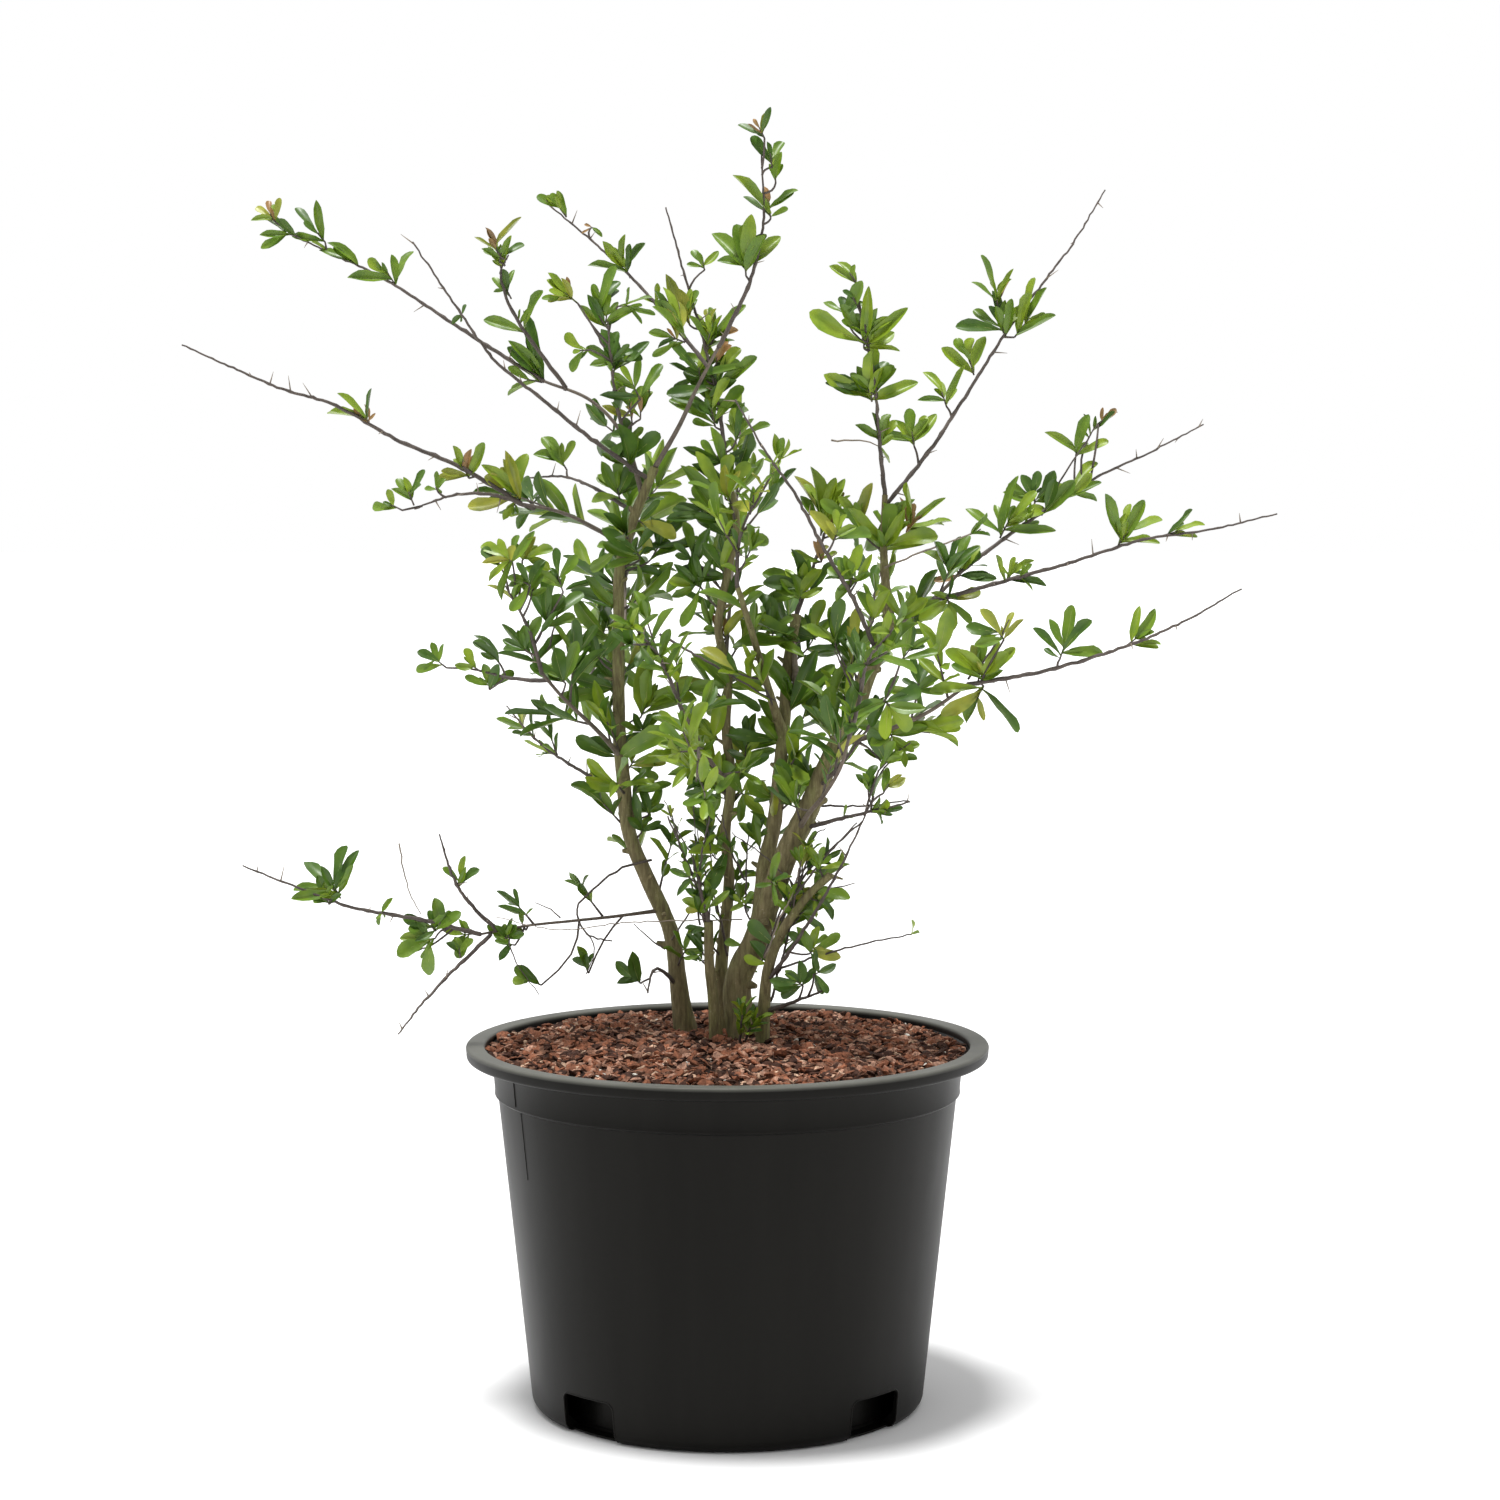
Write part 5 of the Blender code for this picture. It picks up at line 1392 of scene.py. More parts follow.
def cut_notches(pot):
    """Open the foot notches through the wall and the edge of the base."""
    outline = notch_outline(NOTCH_WIDTH / 2, NOTCH_TOP_Z, NOTCH_CORNER, NOTCH_FOOT_Z)
    for i in range(NOTCH_COUNT):
        turn = NOTCH_TURN + tau * i / NOTCH_COUNT
        bm = bmesh.new()
        near, far = ([bm.verts.new((reach * cos(turn) - x * sin(turn), reach * sin(turn) + x * cos(turn), z))
                      for x, z in outline] for reach in (BASE_RADIUS - NOTCH_DEPTH, BASE_RADIUS + 0.020))
        bridge(bm, near, far)
        bm.faces.new(reversed(near))
        bm.faces.new(far)
        bmesh.ops.recalc_face_normals(bm, faces=bm.faces)
        cutter = shown("notch_cutter", mesh_from(bm, "notch_cutter"))
        cut = pot.modifiers.new("notch", "BOOLEAN")
        cut.operation = "DIFFERENCE"
        cut.object = cutter
        depsgraph = bpy.context.evaluated_depsgraph_get()
        baked = bpy.data.meshes.new_from_object(pot.evaluated_get(depsgraph))
        pot.modifiers.clear()
        pot.data = baked
        bpy.data.objects.remove(cutter)


def build_pot(settings):
    """The pot, its moulded lines and its lining."""
    material = plastic_material(settings)
    pot = finished("nursery_pot", turned(pot_profile(), settings.sides), material)
    cut_notches(pot)
    pot.data.set_sharp_from_angle(angle=POT_CREASE)
    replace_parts(pot, "pot")

    trim = bmesh.new()
    for i in range(NOTCH_COUNT):
        turn = NOTCH_TURN + tau * i / NOTCH_COUNT
        outline = notch_outline(NOTCH_WIDTH / 2 + TRIM_GAP, NOTCH_TOP_Z + TRIM_GAP,
                                NOTCH_CORNER + TRIM_GAP, TRIM_FOOT_Z)
        border = np.array([on_wall(turn, x, z, -0.0003) for x, z in outline])
        add_tube(trim, border, np.full(len(border), NOTCH_TRIM), 8)
    for seam in (settings.seam_turn, settings.seam_turn + pi):
        for turn, low, high in ((seam + SEAM_SHIFT, SEAM_FOOT_Z, COLLAR_FOOT_Z - 0.001),
                                (seam, COLLAR_FOOT_Z + 0.003, POT_HEIGHT - LIP_DEPTH - 0.001)):
            line = np.array([on_wall(turn, 0, z, -0.0002) for z in np.linspace(low, high, 24)])
            add_tube(trim, line, np.full(len(line), SEAM_RADIUS), 6)
    piece = finished("pot_mould_lines", trim, material)
    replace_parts(piece, "pot")
    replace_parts(build_lining(settings, material), "pot")


def build_lining(settings, material):
    """The moulded step that closes off the notches from the mix, with its floor."""
    inner, outer = LINING_RADIUS, LINING_RADIUS + LINING_WALL
    floor_edge = wall_radius(BASE_CORNER) - BASE_CORNER
    section = (
        (inner, 0.0003), (floor_edge, 0.0003), (floor_edge + 0.0015, 0.0010), (floor_edge + 0.0015, 0.0022),
        (outer + 0.0020, 0.0022), (outer, 0.0042), (outer, LINING_TOP_Z), (inner, LINING_TOP_Z),
    )
    bm = bmesh.new()
    rings = [ring_of(bm, radius, z, settings.sides) for radius, z in section]
    for near, far in zip(rings, rings[1:] + rings[:1]):
        bridge(bm, near, far)
    bmesh.ops.recalc_face_normals(bm, faces=bm.faces)
    return finished("pot_lining", bm, material, smooth=False)


# Potting mix and chips

def bed_height(radius, x, y, lumps):
    """The height of the mix: a low mound, uneven all over."""
    crown = min(1.0, max(0.0, (radius - MIX_CROWN_RADIUS) / (RIM_INNER_RADIUS - MIX_CROWN_RADIUS)))
    level = MIX_TOP_Z + (MIX_EDGE_Z + BED_RISE - MIX_TOP_Z) * crown
    swell = noise.noise(Vector((x * 22, y * 22, 3.1))) * 1.6 + noise.noise(Vector((x * 90, y * 90, 8.7)))
    return level - 0.0015 + swell * lumps


def build_bed(settings):
    """The body of the mix, with an uneven top."""
    edge = RIM_INNER_RADIUS - 0.0012
    bm = bmesh.new()
    centre = bm.verts.new((0, 0, bed_height(0, 0, 0, settings.lumps)))
    loops = []
    for ring in range(1, BED_RINGS + 1):
        radius = edge * ring / BED_RINGS
        loop = []
        for i in range(BED_SIDES):
            x, y = radius * cos(tau * i / BED_SIDES), radius * sin(tau * i / BED_SIDES)
            loop.append(bm.verts.new((x, y, bed_height(radius, x, y, settings.lumps))))
        loops.append(loop)
    below = (
        (COLLAR_TOP_RADIUS - POT_WALL - 0.0025, POT_HEIGHT - LIP_DEPTH - 0.001),
        (COLLAR_FOOT_RADIUS - POT_WALL - 0.004, COLLAR_FOOT_Z),
        (wall_radius(MIX_SHELF_Z) - POT_WALL - 0.0015, MIX_SHELF_Z),
        (MIX_FOOT_RADIUS, MIX_SHELF_Z),
        (MIX_FOOT_RADIUS, MIX_FOOT_Z),
    )
    loops += [ring_of(bm, radius, z, BED_SIDES) for radius, z in below]
    base = bm.verts.new((0, 0, MIX_FOOT_Z))
    for i in range(BED_SIDES):
        j = (i + 1) % BED_SIDES
        bm.faces.new((centre, loops[0][i], loops[0][j]))
        for near, far in zip(loops, loops[1:]):
            bm.faces.new((near[j], near[i], far[i], far[j]))
        bm.faces.new((base, loops[-1][j], loops[-1][i]))
    bmesh.ops.recalc_face_normals(bm, faces=bm.faces)
    # The bed is dark soil, painted near black also as painted shade where it shows between the chips.
    bed = finished("mix_bed", bm, chip_material("mix_dark", tuple(settings.shadow)))
    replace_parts(bed, "potting_mix")


def bed_top(settings):
    """The open surface that chips are strewn on."""
    bm = bmesh.new()
    bmesh.ops.create_grid(bm, x_segments=120, y_segments=120, size=RIM_RADIUS)
    reach = RIM_INNER_RADIUS - 0.003
    outside = [v for v in bm.verts if v.co.xy.length > reach]
    bmesh.ops.delete(bm, geom=outside, context="VERTS")
    for vert in bm.verts:
        vert.co.z = bed_height(vert.co.xy.length, vert.co.x, vert.co.y, settings.lumps) + 0.0005
    return mesh_from(bm, "bed_top")


def chip_shape(rng):
    """A flake of bark one unit long: a ragged slab, thinner at its edges."""
    bm = bmesh.new()
    width, thick = rng.uniform(0.35, 0.75), rng.uniform(0.14, 0.30)
    levels = []
    for z, inset in ((-0.5, 0.72), (0.1, 1.0), (0.5, 0.70)):
        level = []
        for i in range(CHIP_SIDES):
            angle = tau * (i + rng.uniform(-0.25, 0.25)) / CHIP_SIDES
            reach = 0.5 * inset * rng.uniform(0.78, 1.08)
            level.append(bm.verts.new((reach * cos(angle), reach * sin(angle) * width,
                                       (z + rng.uniform(-0.2, 0.2)) * thick)))
        levels.append(level)
    for low, high in zip(levels, levels[1:]):
        bridge(bm, low, high)
    bm.faces.new(reversed(levels[0]))
    bm.faces.new(levels[-1])
    bmesh.ops.triangulate(bm, faces=[f for f in bm.faces if len(f.verts) > 4])
    bmesh.ops.recalc_face_normals(bm, faces=bm.faces)
    return mesh_from(bm, "chip")


# Each lot of chips: its name, colour, share of all chips, and least and greatest length.
CHIP_LOTS = (
    ("chips_umber", (0.062, 0.025, 0.015), 0.22, 0.006, 0.014),
    ("chips_russet", (0.275, 0.105, 0.056), 0.26, 0.005, 0.015),
    ("chips_cocoa", (0.222, 0.107, 0.067), 0.22, 0.004, 0.013),
    ("chips_rose", (0.480, 0.264, 0.182), 0.16, 0.004, 0.013),
    ("chips_tan", (0.620, 0.410, 0.285), 0.10, 0.003, 0.011),
    ("chips_pale", (0.790, 0.730, 0.650), 0.04, 0.003, 0.006),
)


def build_chips(settings):
    """The lots of chips, strewn over the mix."""
    rng = np.random.default_rng(settings.seed)
    shapes = shape_collection("chip_shapes", [chip_shape(rng) for _ in range(CHIP_SHAPES)])
    tree = scattered_shapes_tree()
    for i, (name, colour, share, least, greatest) in enumerate(CHIP_LOTS):
        values = {"Shapes": shapes, "Density": settings.density * share, "Seed": settings.seed + i,
                  "Least Size": least, "Greatest Size": greatest, "Tilt": settings.tilt,
                  "Material": chip_material(name, colour)}
        piece = grown(name, bed_top(settings), tree, values, "bark_mix", smooth=False)
        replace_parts(piece, "potting_mix")
    remove_collection(shapes)


# Stems and boughs

# Layers of the bark: how fast each changes round a limb and along it, and from one
# limb to the next.
RIDGES = (3.2, 70, 7.3)
GRAIN = (7.0, 190, 3.7)
LUMPS = (1.1, 26, 5.9)


def bark_relief(seed, depth):
    """The bark's height over the stem: long ridges, fine grain and low lumps."""
    def layer(angle, run, scales):
        across, along, apart = scales
        return noise.noise(Vector((cos(angle) * across, sin(angle) * across, run * along + seed * apart)))

    def relief(angle, run, radius):
        ridges, grain, lumps = (layer(angle, run, scales) for scales in (RIDGES, GRAIN, LUMPS))
        return radius * (depth * (abs(ridges) * -1.3 + 0.25 + grain * 0.45) + 0.11 * lumps)
    return relief


# The boughs as stout as the stems; the rest are thin.
STOUT_BOUGHS = ("limb_middle", "bough_east_up", "bough_middle_west")


def root_stem(bough):
    """The stem that a bough stands on, through any bough between."""
    owners = {b.name: b.on for b in BOUGHS}
    name = bough.name
    while name in owners:
        name = owners[name]
    return name


def limb_line(limb, route, spacing):
    """A limb's smooth line and radii, flared where it leaves the mix or its parent."""
    centres, radii = route.smooth(spacing)
    run = np.concatenate([[0], np.cumsum(np.linalg.norm(np.diff(centres, axis=0), axis=1))])
    if isinstance(limb, Stem):
        radii = radii * (1 + FLARE * np.exp(-run / FLARE_HEIGHT))
        sunk = centres[0] - np.array((0, 0, STEM_SINK))
        return np.vstack([sunk, centres]), np.concatenate([[radii[0]], radii])
    if limb.at != 1:
        radii = radii * (1 + BRANCH_SWELL * np.exp(-run / BRANCH_LENGTH))
    return centres, radii


def build_stems(settings, foliage):
    """Each stem with its stout boughs, in bark with relief, and the thin boughs in smoother bark."""
    material = bark_material(settings)
    thin = [bough for bough in BOUGHS if bough.name not in STOUT_BOUGHS]
    bm = bmesh.new()
    for index, bough in enumerate(thin):
        centres, radii = limb_line(bough, foliage.limb_routes[bough.name], settings.ring_spacing)
        relief = bark_relief(THIN_SEED + index, settings.relief)
        add_tube(bm, centres, radii * settings.thin, settings.sides - THIN_FEWER, relief)
    piece = finished("bark_boughs", bm, twig_material("bark_thin", tuple(settings.thin_colour), 0.6))
    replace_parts(piece, *[bough.name for bough in thin])
    for number, stem in enumerate(STEMS):
        boughs = [bough for bough in BOUGHS if root_stem(bough) == stem.name and bough not in thin]
        bm = bmesh.new()
        for index, limb in enumerate([stem] + boughs):
            route = foliage.limb_routes[limb.name]
            centres, radii = limb_line(limb, route, settings.ring_spacing)
            sides = settings.sides - (0 if limb is stem else STOUT_FEWER)
            add_tube(bm, centres, radii, sides, bark_relief(number * 11 + index, settings.relief))
            add_stubs(bm, route, np.random.default_rng(number * 31 + index), settings.stub_spacing)
        piece = finished("bark_" + stem.name, bm, material)
        piece.data.set_sharp_from_angle(angle=BARK_CREASE)
        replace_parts(piece, stem.name, *[bough.name for bough in boughs])


def add_stubs(bm, route, rng, spacing):
    """Short broken twigs and buds along a limb."""
    for at in np.arange(spacing / 2, route.length(), spacing):
        centre, along, radius = route.place(at / route.length())
        if centre[2] < MIX_TOP_Z + STUB_FOOT_Z:
            continue
        way = unit(np.cross(along, rng.normal(0, 1, 3)) + 0.5 * along)
        size = radius * rng.uniform(*STUB_SIZES)
        reach = radius + rng.uniform(*STUB_REACHES)
        line = np.array([centre, centre + way * radius * 0.9, centre + way * reach])
        add_tube(bm, line, np.array((size * 1.8, size * 1.5, size * 0.7)), 7)


# Twigs and leaves

def build_twigs(settings, foliage):
    """The woody twigs, and the pale ones with the thorns."""
    lots = {
        "twigs_woody": (False, twig_material("twig_woody", tuple(settings.woody), 0.62)),
        "twigs_young": (True, twig_material("twig_young", tuple(settings.young), 0.50)),
    }
    names = [shoot.name for shoot in SHOOTS]
    for name, (pale, material) in lots.items():
        bm = bmesh.new()
        for twig in foliage.twigs:
            if twig.pale == pale:
                add_tube(bm, twig.points, twig.radii, 6 if len(twig.points) > 3 else 5)
        piece = finished(name, bm, material)
        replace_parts(piece, *names)


# Leaf shapes: how the width swells and closes, the fold, the droop, the wave of the
# edges, and how far the blade curves aside.
LeafShape = namedtuple("LeafShape", "swell close fold droop wave sickle")

LEAF_SHAPES = (
    (1.25, 0.80, 0.45, 0.12, 0.10, 0.10),
    (1.10, 0.95, 0.60, -0.20, 0.14, -0.20),
    (1.50, 0.60, 0.30, 0.35, 0.14, 0.15),
    (1.00, 1.00, 0.70, 0.05, 0.08, 0.25),
    (1.35, 0.65, 0.25, 0.50, 0.20, -0.15),
    (1.15, 0.75, 0.50, -0.35, 0.16, 0.05),
    (1.65, 0.55, 0.35, 0.20, 0.16, -0.25),
    (0.95, 0.85, 0.55, 0.42, 0.12, 0.20),
    (1.30, 0.50, 0.20, 0.25, 0.10, -0.05),
    (1.20, 0.90, 0.80, 0.30, 0.18, -0.12),
)
LEAF_ROWS = (0.0, 0.10, 0.26, 0.44, 0.62, 0.78, 0.90, 0.97, 1.0)
LEAF_COLUMNS = (-1.0, -0.5, 0.0, 0.5, 1.0)
LEAF_PLUMP = 0.008
LEAF_RIM_ANGLE = 1.5
LEAF_OBLONG = 0.78
RIB_RADIUS = 0.009
RIB_PLACES = (-0.02, 0.12, 0.35, 0.60, 0.90)
RIB_TAPER = (1.5, 1.25, 1.0, 0.8, 0.3)
PETIOLE_WIDTH = 0.045


def leaf_spine(form, t):
    """The leaf's middle line at a share of its length: aside, along and up."""
    return form.sickle * sin(pi * t) * 0.5, t * (1 - 0.12 * form.droop ** 2), -form.droop * t * t * 0.6


def leaf_surface(form, t, u):
    """A point of the upper face of a leaf one unit long and one wide."""
    widest = form.swell / (form.swell + form.close)
    peak = widest ** form.swell * (1 - widest) ** form.close
    half = 0.5 * (t ** form.swell * (1 - t) ** form.close / peak) ** LEAF_OBLONG
    half *= 1 + 0.5 * form.sickle * u + 0.6 * form.wave * sin(t * 21 + 3 * u)
    half = max(half, PETIOLE_WIDTH * (1 - t) if t < 0.3 else 0)
    x, y, z = leaf_spine(form, t)
    ripple = form.wave * sin(t * 9 + (1.3 if u > 0 else 0)) * u * u * 0.45
    return Vector((x + u * half, y, z + (form.fold * abs(u) * half + ripple) * 0.36))


def leaf_shape(form):
    """A leaf blade: two faces, plump in the middle and meeting at its edges."""
    bm = bmesh.new()
    upper, lower = [], []
    for t in LEAF_ROWS:
        pointed = t == LEAF_ROWS[-1]
        points = [leaf_surface(form, t, 0 if pointed else u) for u in LEAF_COLUMNS]
        if pointed:
            tip = bm.verts.new(points[0])
            upper.append([tip] * len(points))
            lower.append([tip] * len(points))
            continue
        top = [bm.verts.new(p) for p in points]
        under = [top[0], *[bm.verts.new(p - Vector((0, 0, LEAF_PLUMP))) for p in points[1:-1]], top[-1]]
        upper.append(top)
        lower.append(under)
    for side, grid in enumerate((upper, lower)):
        for row, after in zip(grid, grid[1:]):
            for k in range(len(row) - 1):
                corners = [row[k], row[k + 1], after[k + 1], after[k]]
                corners = list(dict.fromkeys(corners))
                bm.faces.new(reversed(corners) if side else corners)
    for k in range(len(LEAF_COLUMNS) - 1):
        corners = list(dict.fromkeys((upper[0][k + 1], upper[0][k], lower[0][k], lower[0][k + 1])))
        bm.faces.new(corners)
    bm.normal_update()
    for edge in bm.edges:
        edge.smooth = edge.calc_face_angle(0) < LEAF_RIM_ANGLE
    return mesh_from(bm, "blade")


def rib_shape(form):
    """The leaf's stalk and midrib, standing a little proud of both faces."""
    line = np.array([leaf_spine(form, t) for t in RIB_PLACES]) - np.array((0, 0, LEAF_PLUMP / 2))
    bm = bmesh.new()
    add_tube(bm, line, RIB_RADIUS * np.array(RIB_TAPER), 4)
    for vert in bm.verts:
        vert.co.x += vert.co.x - float(np.interp(vert.co.y, line[:, 1], line[:, 0]))
    return mesh_from(bm, "rib")


def leaf_points(leaves, size, rng):
    """One point for each leaf, with its turn, size and shape as attributes."""
    mesh = bpy.data.meshes.new("leaf_points")
    mesh.from_pydata([leaf.root for leaf in leaves], [], [])
    for label, kind in (("turn", "FLOAT_VECTOR"), ("size", "FLOAT_VECTOR"), ("shape", "INT")):
        mesh.attributes.new(label, kind, "POINT")
    turn, scale, shape = (mesh.attributes[label] for label in ("turn", "size", "shape"))
    for i, leaf in enumerate(leaves):
        across = np.cross(leaf.along, leaf.face)
        basis = Matrix((across, leaf.along, leaf.face)).transposed()
        turn.data[i].vector = basis.to_euler()
        length = leaf.length * size
        scale.data[i].vector = (length * LEAF_WIDTH * leaf.width, length, length)
        shape.data[i].value = int(rng.integers(len(LEAF_SHAPES)))
    return mesh


def build_leaves(settings, foliage):
    """The leaves of each kind, and the midribs and stalks of each."""
    colours = (settings.deep, settings.mid, settings.bright, settings.yellow, settings.bronze)
    forms = [LeafShape(*row) for row in LEAF_SHAPES]
    blades = shape_collection("leaf_blades", [leaf_shape(form) for form in forms])
    ribs = shape_collection("leaf_ribs", [rib_shape(form) for form in forms])
    tree = placed_shapes_tree()
    names = [shoot.name for shoot in SHOOTS]
    slots = ("leaf_deep", "leaf_mid", "leaf_fresh", "leaf_fresh", "leaf_fresh")
    pale = leaf_material("leaf_rib", tuple(settings.rib))
    for number, (kind, colour, slot) in enumerate(zip(KINDS, colours, slots)):
        leaves = [leaf for leaf in foliage.leaves if leaf.kind == number]
        for part, shapes, material in (("leaves_", blades, leaf_material("leaf_" + kind, tuple(colour))),
                                       ("ribs_", ribs, pale)):
            base = leaf_points(leaves, settings.size, np.random.default_rng(settings.seed + number))
            piece = grown(part + kind, base, tree, {"Shapes": shapes, "Material": material}, slot)
            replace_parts(piece, *names)
    remove_collection(blades)
    remove_collection(ribs)


# Stage

def studio_world(settings):
    """Soft light from all round, weaker from behind the camera; white where it is seen."""
    world = bpy.data.worlds.new("studio")
    world.use_nodes = True
    tree = world.node_tree
    white = (1, 1, 1, 1)
    ahead = add_node(tree, "ShaderNodeTexCoord").outputs["Generated"]
    facing = add_node(tree, "ShaderNodeVectorMath", {"operation": "DOT_PRODUCT"},
                      {0: ahead, 1: (0, -1, 0)}).outputs["Value"]
    fade = add_node(tree, "ShaderNodeMapRange", {"interpolation_type": "SMOOTHSTEP"},
                    {"Value": facing, "From Min": 0.35, "From Max": 1.0, "To Min": settings.sky,
                     "To Max": settings.sky * settings.behind}).outputs["Result"]
    light = tree.nodes["Background"]
    light.inputs["Color"].default_value = white
    tree.links.new(fade, light.inputs["Strength"])
    seen = add_node(tree, "ShaderNodeBackground", sockets={"Color": white})
    to_camera = add_node(tree, "ShaderNodeLightPath").outputs["Is Camera Ray"]
    either = add_node(tree, "ShaderNodeMixShader", sockets={0: to_camera, 1: light.outputs[0],
                                                            2: seen.outputs[0]})
    tree.links.new(either.outputs[0], tree.nodes["World Output"].inputs["Surface"])
    return world


def build_stage(settings):
    """A pale floor, a soft studio light and the camera."""
    bm = bmesh.new()
    bmesh.ops.create_grid(bm, x_segments=1, y_segments=1, size=30.0)
    floor = shown("floor", mesh_from(bm, "floor"))
    shader = Shader("floor", roughness=0.9, specular=0.1)
    shader.surface.inputs["Base Color"].default_value = (*settings.floor_colour, 1)
    floor.data.materials.append(shader.material)

    bpy.context.scene.world = studio_world(settings)

    sun = bpy.data.lights.new("soft_key", "SUN")
    sun.energy = settings.key
    sun.angle = settings.key_softness
    key = shown("soft_key", sun)
    key.location = tuple(settings.key_place)
    key.rotation_euler = (-key.location).to_track_quat("-Z", "Y").to_euler()

    data = bpy.data.cameras.new("camera")
    data.lens = settings.lens
    data.sensor_width = 36.0
    data.clip_start, data.clip_end = 0.05, 100.0
    camera = shown("camera", data)
    camera.location = tuple(settings.eye)
    camera.rotation_euler = (pi / 2 - settings.pitch, 0, 0)
    bpy.context.scene.camera = camera
    bpy.context.scene.view_settings.view_transform = "Standard"


# Settings that a user would change

def colour_property(name, description, default):
    return FloatVectorProperty(name=name, description=description, subtype="COLOR", size=3,
                               min=0.0, max=1.0, default=default)


def share_property(name, description, default):
    return FloatProperty(name=name, description=description, subtype="FACTOR", min=0.0, max=1.0,
                         default=default)


def distance_property(name, description, default, least=0.001):
    return FloatProperty(name=name, description=description, subtype="DISTANCE", unit="LENGTH",
                         min=least, default=default)


def angle_property(name, description, degrees):
    return FloatProperty(name=name, description=description, subtype="ANGLE", default=radians(degrees))


class PotSettings(bpy.types.PropertyGroup):
    colour: colour_property("Plastic", "Colour of the pot", (0.0036, 0.0035, 0.0031))
    # The lighter top of the rim: scuffs, and a painted highlight.
    wear_and_highlight: colour_property("Rim wear and highlight", "Colour of the top of the rim: scuffs and painted highlight", (0.135, 0.135, 0.118))
    gloss: share_property("Gloss", "Strength of the plastic's reflections", 0.130)
    sides: IntProperty(name="Sides", description="Faces round the pot", default=160, min=24, max=256)
    seam_turn: angle_property("Seam turn", "Where the mould seam runs, round the pot", 208.3)


class MixSettings(bpy.types.PropertyGroup):
    # The mix between the chips: dark soil, and painted shade between the chips.
    shadow: colour_property("Between chips", "Colour of the mix between the chips", (0.030, 0.012, 0.007))
    lumps: distance_property("Lumps", "Height of the mix's unevenness", 0.0022, 0.0)
    density: FloatProperty(name="Density", description="Chips on a square metre", default=62000.0, min=0.0)
    tilt: FloatProperty(name="Tilt", description="Greatest tilt of a chip", default=0.65, subtype="ANGLE")
    seed: IntProperty(name="Seed", description="Seed of the chips' scatter", default=4)


class StemSettings(bpy.types.PropertyGroup):
    colour: colour_property("Bark", "Main colour of the bark", (0.300, 0.252, 0.128))
    olive: colour_property("Green bark", "Colour of the greener patches", (0.222, 0.220, 0.084))
    pale: colour_property("Pale bark", "Colour of the dry flecks", (0.460, 0.410, 0.310))
    thin: share_property("Thin boughs", "Thickness of the thin boughs, times their solids'", 0.60)
    thin_colour: colour_property("Thin bark", "Colour of the thin boughs", (0.125, 0.100, 0.078))
    sides: IntProperty(name="Sides", description="Faces round a stem", default=26, min=16, max=64)
    ring_spacing: distance_property("Ring spacing", "Distance between rings of the bark's mesh", 0.0022)
    relief: share_property("Relief", "Depth of the bark's ridges, as a share of the radius", 0.10)
    stub_spacing: distance_property("Stub spacing", "Distance between stubs of old twigs", 0.024)


class GrowthSettings(bpy.types.PropertyGroup):
    twig_size: FloatProperty(name="Twig size", description="Thickness of the twigs, times their solids'",
                             default=0.95, min=0.2, max=2.0)
    node_spacing: distance_property("Node spacing", "Distance between nodes on a shoot", 0.017)
    pair_spacing: distance_property("Pair spacing", "Distance between leaf pairs on a side twig", 0.0105)
    leafy_nodes: share_property("Leafy nodes", "Share of a shoot's nodes with small leaves", 0.18)
    thorny_nodes: share_property("Thorny nodes", "Share of the other nodes with a thorn", 0.45)
    second_sprays: share_property("Second sprays", "Share of the tufts with a second spray", 0.6)
    leaf_base: distance_property("Least leaf", "Length that every full-grown leaf has", 0.008, 0.0)
    leaf_share: share_property("Leaf share", "Leaf length over that, as a share of its solid's", 0.62)
    leaf_widths: FloatVectorProperty(name="Leaf widths", size=2, default=(0.50, 0.84),
                                     description="Least and greatest width, times the solid's")
    light_leaf: share_property("Light shoots", "Leaf size on the shoots with small leaves", 0.66)
    small_leaves: IntProperty(name="Small leaves", description="Small young leaves in each tuft",
                              default=2, min=0, max=6)
    limb_spray_spacing: distance_property("Spray spacing", "Distance between sprays on the limbs", 0.026)
    backward: share_property("To the back", "Share of those sprays turned to the back", 0.65)
    limb_leaf: distance_property("Limb leaf", "Length of the leaves that stand on limbs", 0.033)
    dense_from: distance_property("Dense from", "Height from which the limbs bear many sprays", 0.385)
    dense_to: distance_property("Dense to", "Height up to which the limbs bear many sprays", 0.640)
    low_sprays: share_property("Low sprays", "Share of the sprays kept below the dense part", 0.30)
    high_sprays: share_property("High sprays", "Share of the sprays kept above the dense part", 0.12)
    woody: colour_property("Woody twigs", "Colour of the older twigs", (0.085, 0.068, 0.058))
    young: colour_property("Pale twigs", "Colour of the thorns and dry twigs", (0.210, 0.170, 0.130))


class LeafSettings(bpy.types.PropertyGroup):
    size: FloatProperty(name="Size", description="Leaf length, times its solid's", default=1.0,
                        min=0.2, max=2.0)
    seed: IntProperty(name="Seed", description="Seed of the leaves' shapes", default=7)
    deep: colour_property("Deep", "Colour of old leaves", (0.055, 0.134, 0.010))
    mid: colour_property("Mid", "Colour of most leaves", (0.112, 0.222, 0.013))
    bright: colour_property("Bright", "Colour of fresh leaves", (0.184, 0.305, 0.019))
    yellow: colour_property("Yellow", "Colour of young leaves", (0.262, 0.318, 0.038))
    bronze: colour_property("Bronze", "Colour of the youngest leaves", (0.285, 0.185, 0.070))
    rib: colour_property("Rib", "Colour of the midribs and stalks", (0.260, 0.330, 0.090))


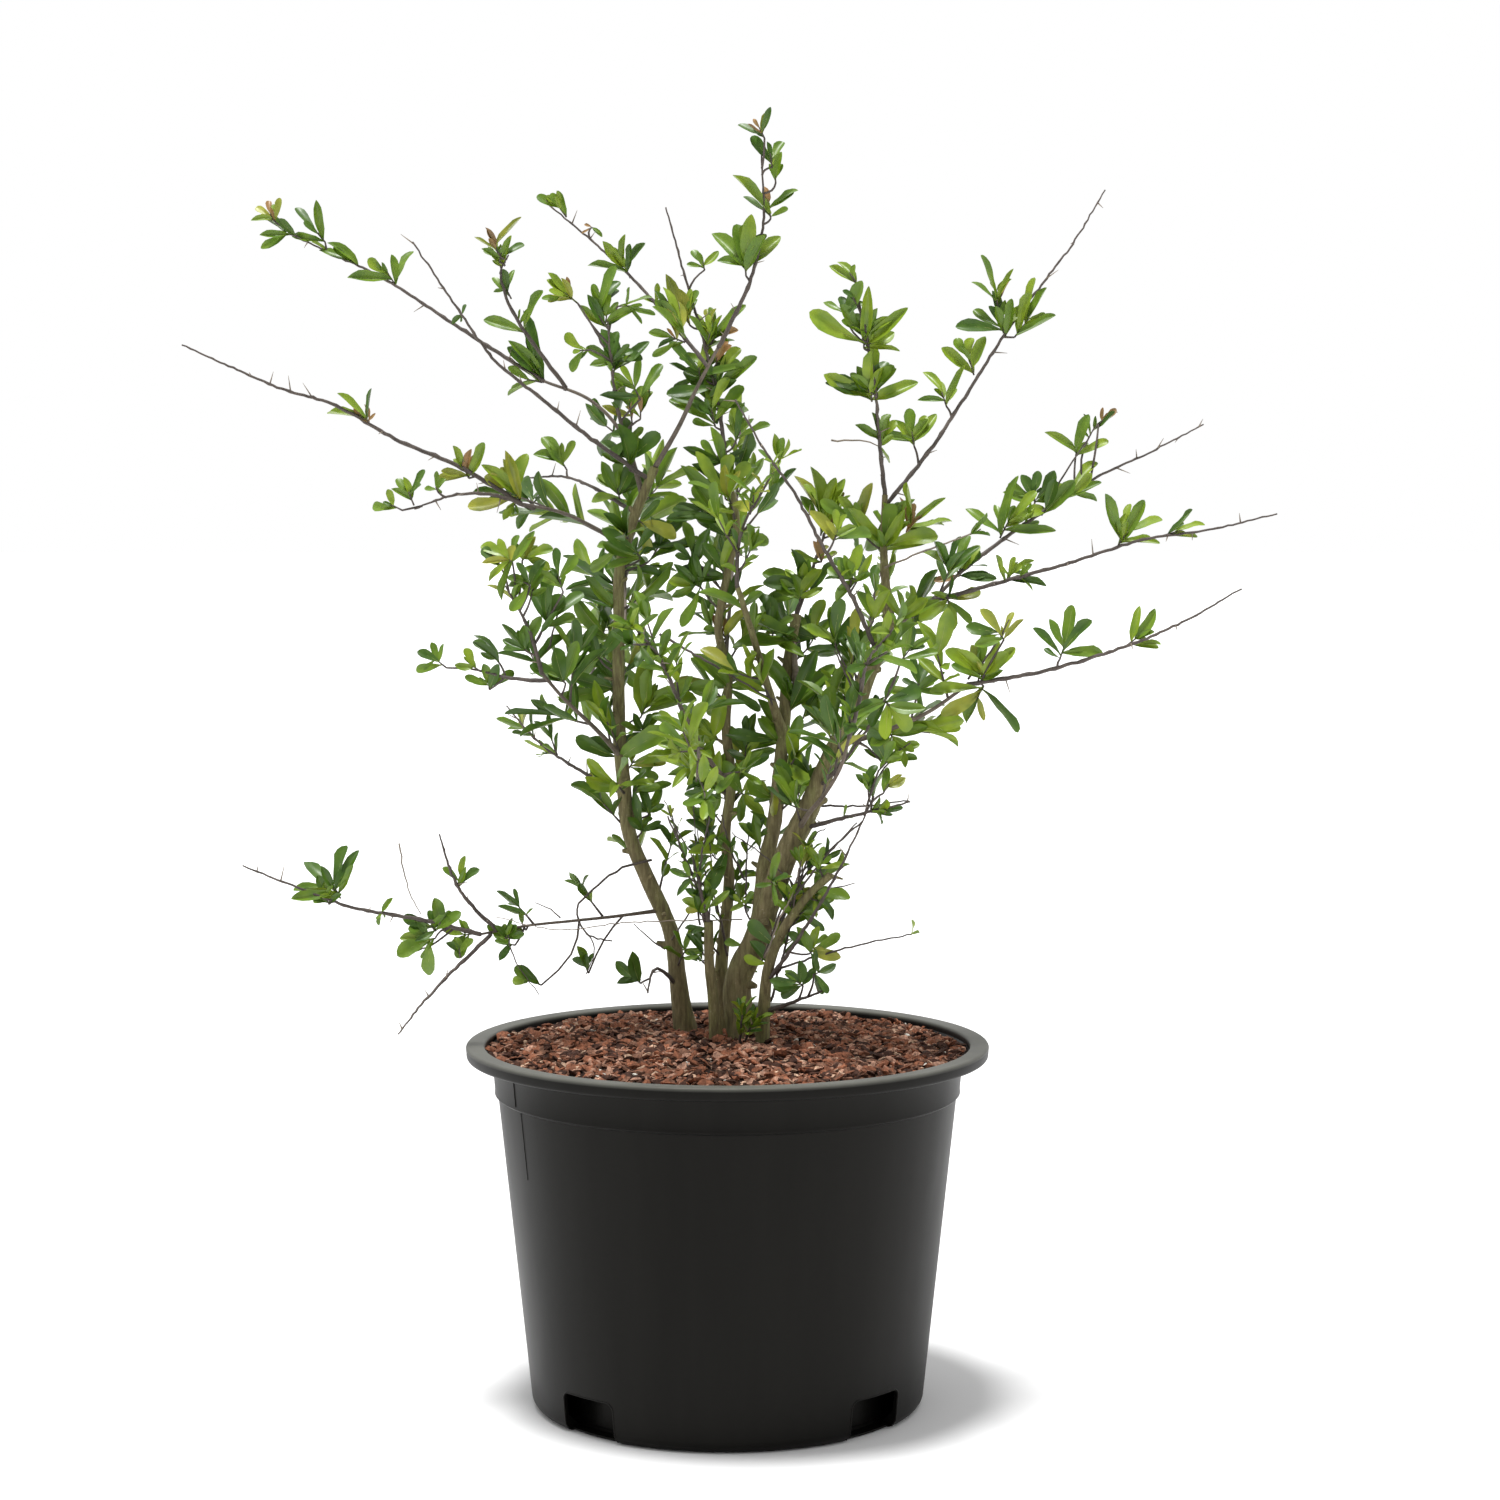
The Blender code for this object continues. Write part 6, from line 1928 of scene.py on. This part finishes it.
class StageSettings(bpy.types.PropertyGroup):
    floor_colour: colour_property("Floor", "Colour of the floor", (0.90, 0.90, 0.90))
    sky: FloatProperty(name="Ambient light", description="Strength of the light from all round",
                       default=0.78)
    behind: share_property("Behind camera", "Share of that light from behind the camera", 0.45)
    key: FloatProperty(name="Key light", description="Strength of the soft key light", default=3.3)
    key_softness: angle_property("Softness", "Angle across the key light", 12.0)
    key_place: FloatVectorProperty(name="Key place", description="Where the key light shines from",
                                   subtype="TRANSLATION", size=3, default=(-0.19, -0.19, 2.2))
    lens: FloatProperty(name="Lens", description="Focal length in millimetres", default=80.0)
    eye: FloatVectorProperty(name="Eye", description="Where the camera stands", subtype="TRANSLATION",
                             size=3, default=(0.0155, -2.277, 0.632))
    pitch: angle_property("Pitch", "How far the camera looks down", 4.5)


# Operators

class SHRUB_OT_pot(bpy.types.Operator):
    """Mould the nursery pot with its lip, seams and foot notches"""

    bl_idname = "shrub.pot"
    bl_label = "Nursery pot"
    bl_options = {"REGISTER", "UNDO"}

    def execute(self, context):
        build_pot(context.scene.shrub_pot)
        return {"FINISHED"}


class SHRUB_OT_mix(bpy.types.Operator):
    """Fill the pot with mix and strew its bark chips"""

    bl_idname = "shrub.mix"
    bl_label = "Potting mix"
    bl_options = {"REGISTER", "UNDO"}

    def execute(self, context):
        build_bed(context.scene.shrub_mix)
        build_chips(context.scene.shrub_mix)
        return {"FINISHED"}


class SHRUB_OT_stems(bpy.types.Operator):
    """Give the stems and boughs bark with relief"""

    bl_idname = "shrub.stems"
    bl_label = "Stems and boughs"
    bl_options = {"REGISTER", "UNDO"}

    def execute(self, context):
        build_stems(context.scene.shrub_stems, Foliage(context.scene.shrub_growth))
        return {"FINISHED"}


class SHRUB_OT_twigs(bpy.types.Operator):
    """Grow the twigs, spurs and thorns"""

    bl_idname = "shrub.twigs"
    bl_label = "Twigs"
    bl_options = {"REGISTER", "UNDO"}

    def execute(self, context):
        build_twigs(context.scene.shrub_growth, Foliage(context.scene.shrub_growth))
        return {"FINISHED"}


class SHRUB_OT_leaves(bpy.types.Operator):
    """Grow the leaves with their ribs, by kind"""

    bl_idname = "shrub.leaves"
    bl_label = "Leaves"
    bl_options = {"REGISTER", "UNDO"}

    def execute(self, context):
        build_leaves(context.scene.shrub_leaves, Foliage(context.scene.shrub_growth))
        return {"FINISHED"}


class SHRUB_OT_stage(bpy.types.Operator):
    """Set the floor, the soft light and the camera"""

    bl_idname = "shrub.stage"
    bl_label = "Stage"
    bl_options = {"REGISTER", "UNDO"}

    def execute(self, context):
        build_stage(context.scene.shrub_stage)
        return {"FINISHED"}


OPERATORS = (SHRUB_OT_pot, SHRUB_OT_mix, SHRUB_OT_stems, SHRUB_OT_twigs, SHRUB_OT_leaves, SHRUB_OT_stage)
SETTINGS = {
    "shrub_pot": PotSettings,
    "shrub_mix": MixSettings,
    "shrub_stems": StemSettings,
    "shrub_growth": GrowthSettings,
    "shrub_leaves": LeafSettings,
    "shrub_stage": StageSettings,
}


class SHRUB_PT_panel(bpy.types.Panel):
    bl_label = "Potted shrub"
    bl_idname = "SHRUB_PT_panel"
    bl_space_type = "VIEW_3D"
    bl_region_type = "UI"
    bl_category = "Shrub"

    def draw(self, context):
        for operator in OPERATORS:
            self.layout.operator(operator.bl_idname)
        for label, group in SETTINGS.items():
            box = self.layout.box()
            for prop in group.__annotations__:
                box.prop(getattr(context.scene, label), prop)


def register():
    for cls in (*SETTINGS.values(), *OPERATORS, SHRUB_PT_panel):
        bpy.utils.register_class(cls)
    for label, group in SETTINGS.items():
        setattr(bpy.types.Scene, label, PointerProperty(type=group))


def unregister():
    for label in SETTINGS:
        delattr(bpy.types.Scene, label)
    for cls in (SHRUB_PT_panel, *reversed(OPERATORS), *reversed(SETTINGS.values())):
        bpy.utils.unregister_class(cls)


def main():
    register()
    bpy.ops.shrub.stage()
    bpy.ops.shrub.pot()
    bpy.ops.shrub.mix()
    bpy.ops.shrub.stems()
    bpy.ops.shrub.twigs()
    bpy.ops.shrub.leaves()


if __name__ == "__main__":
    main()
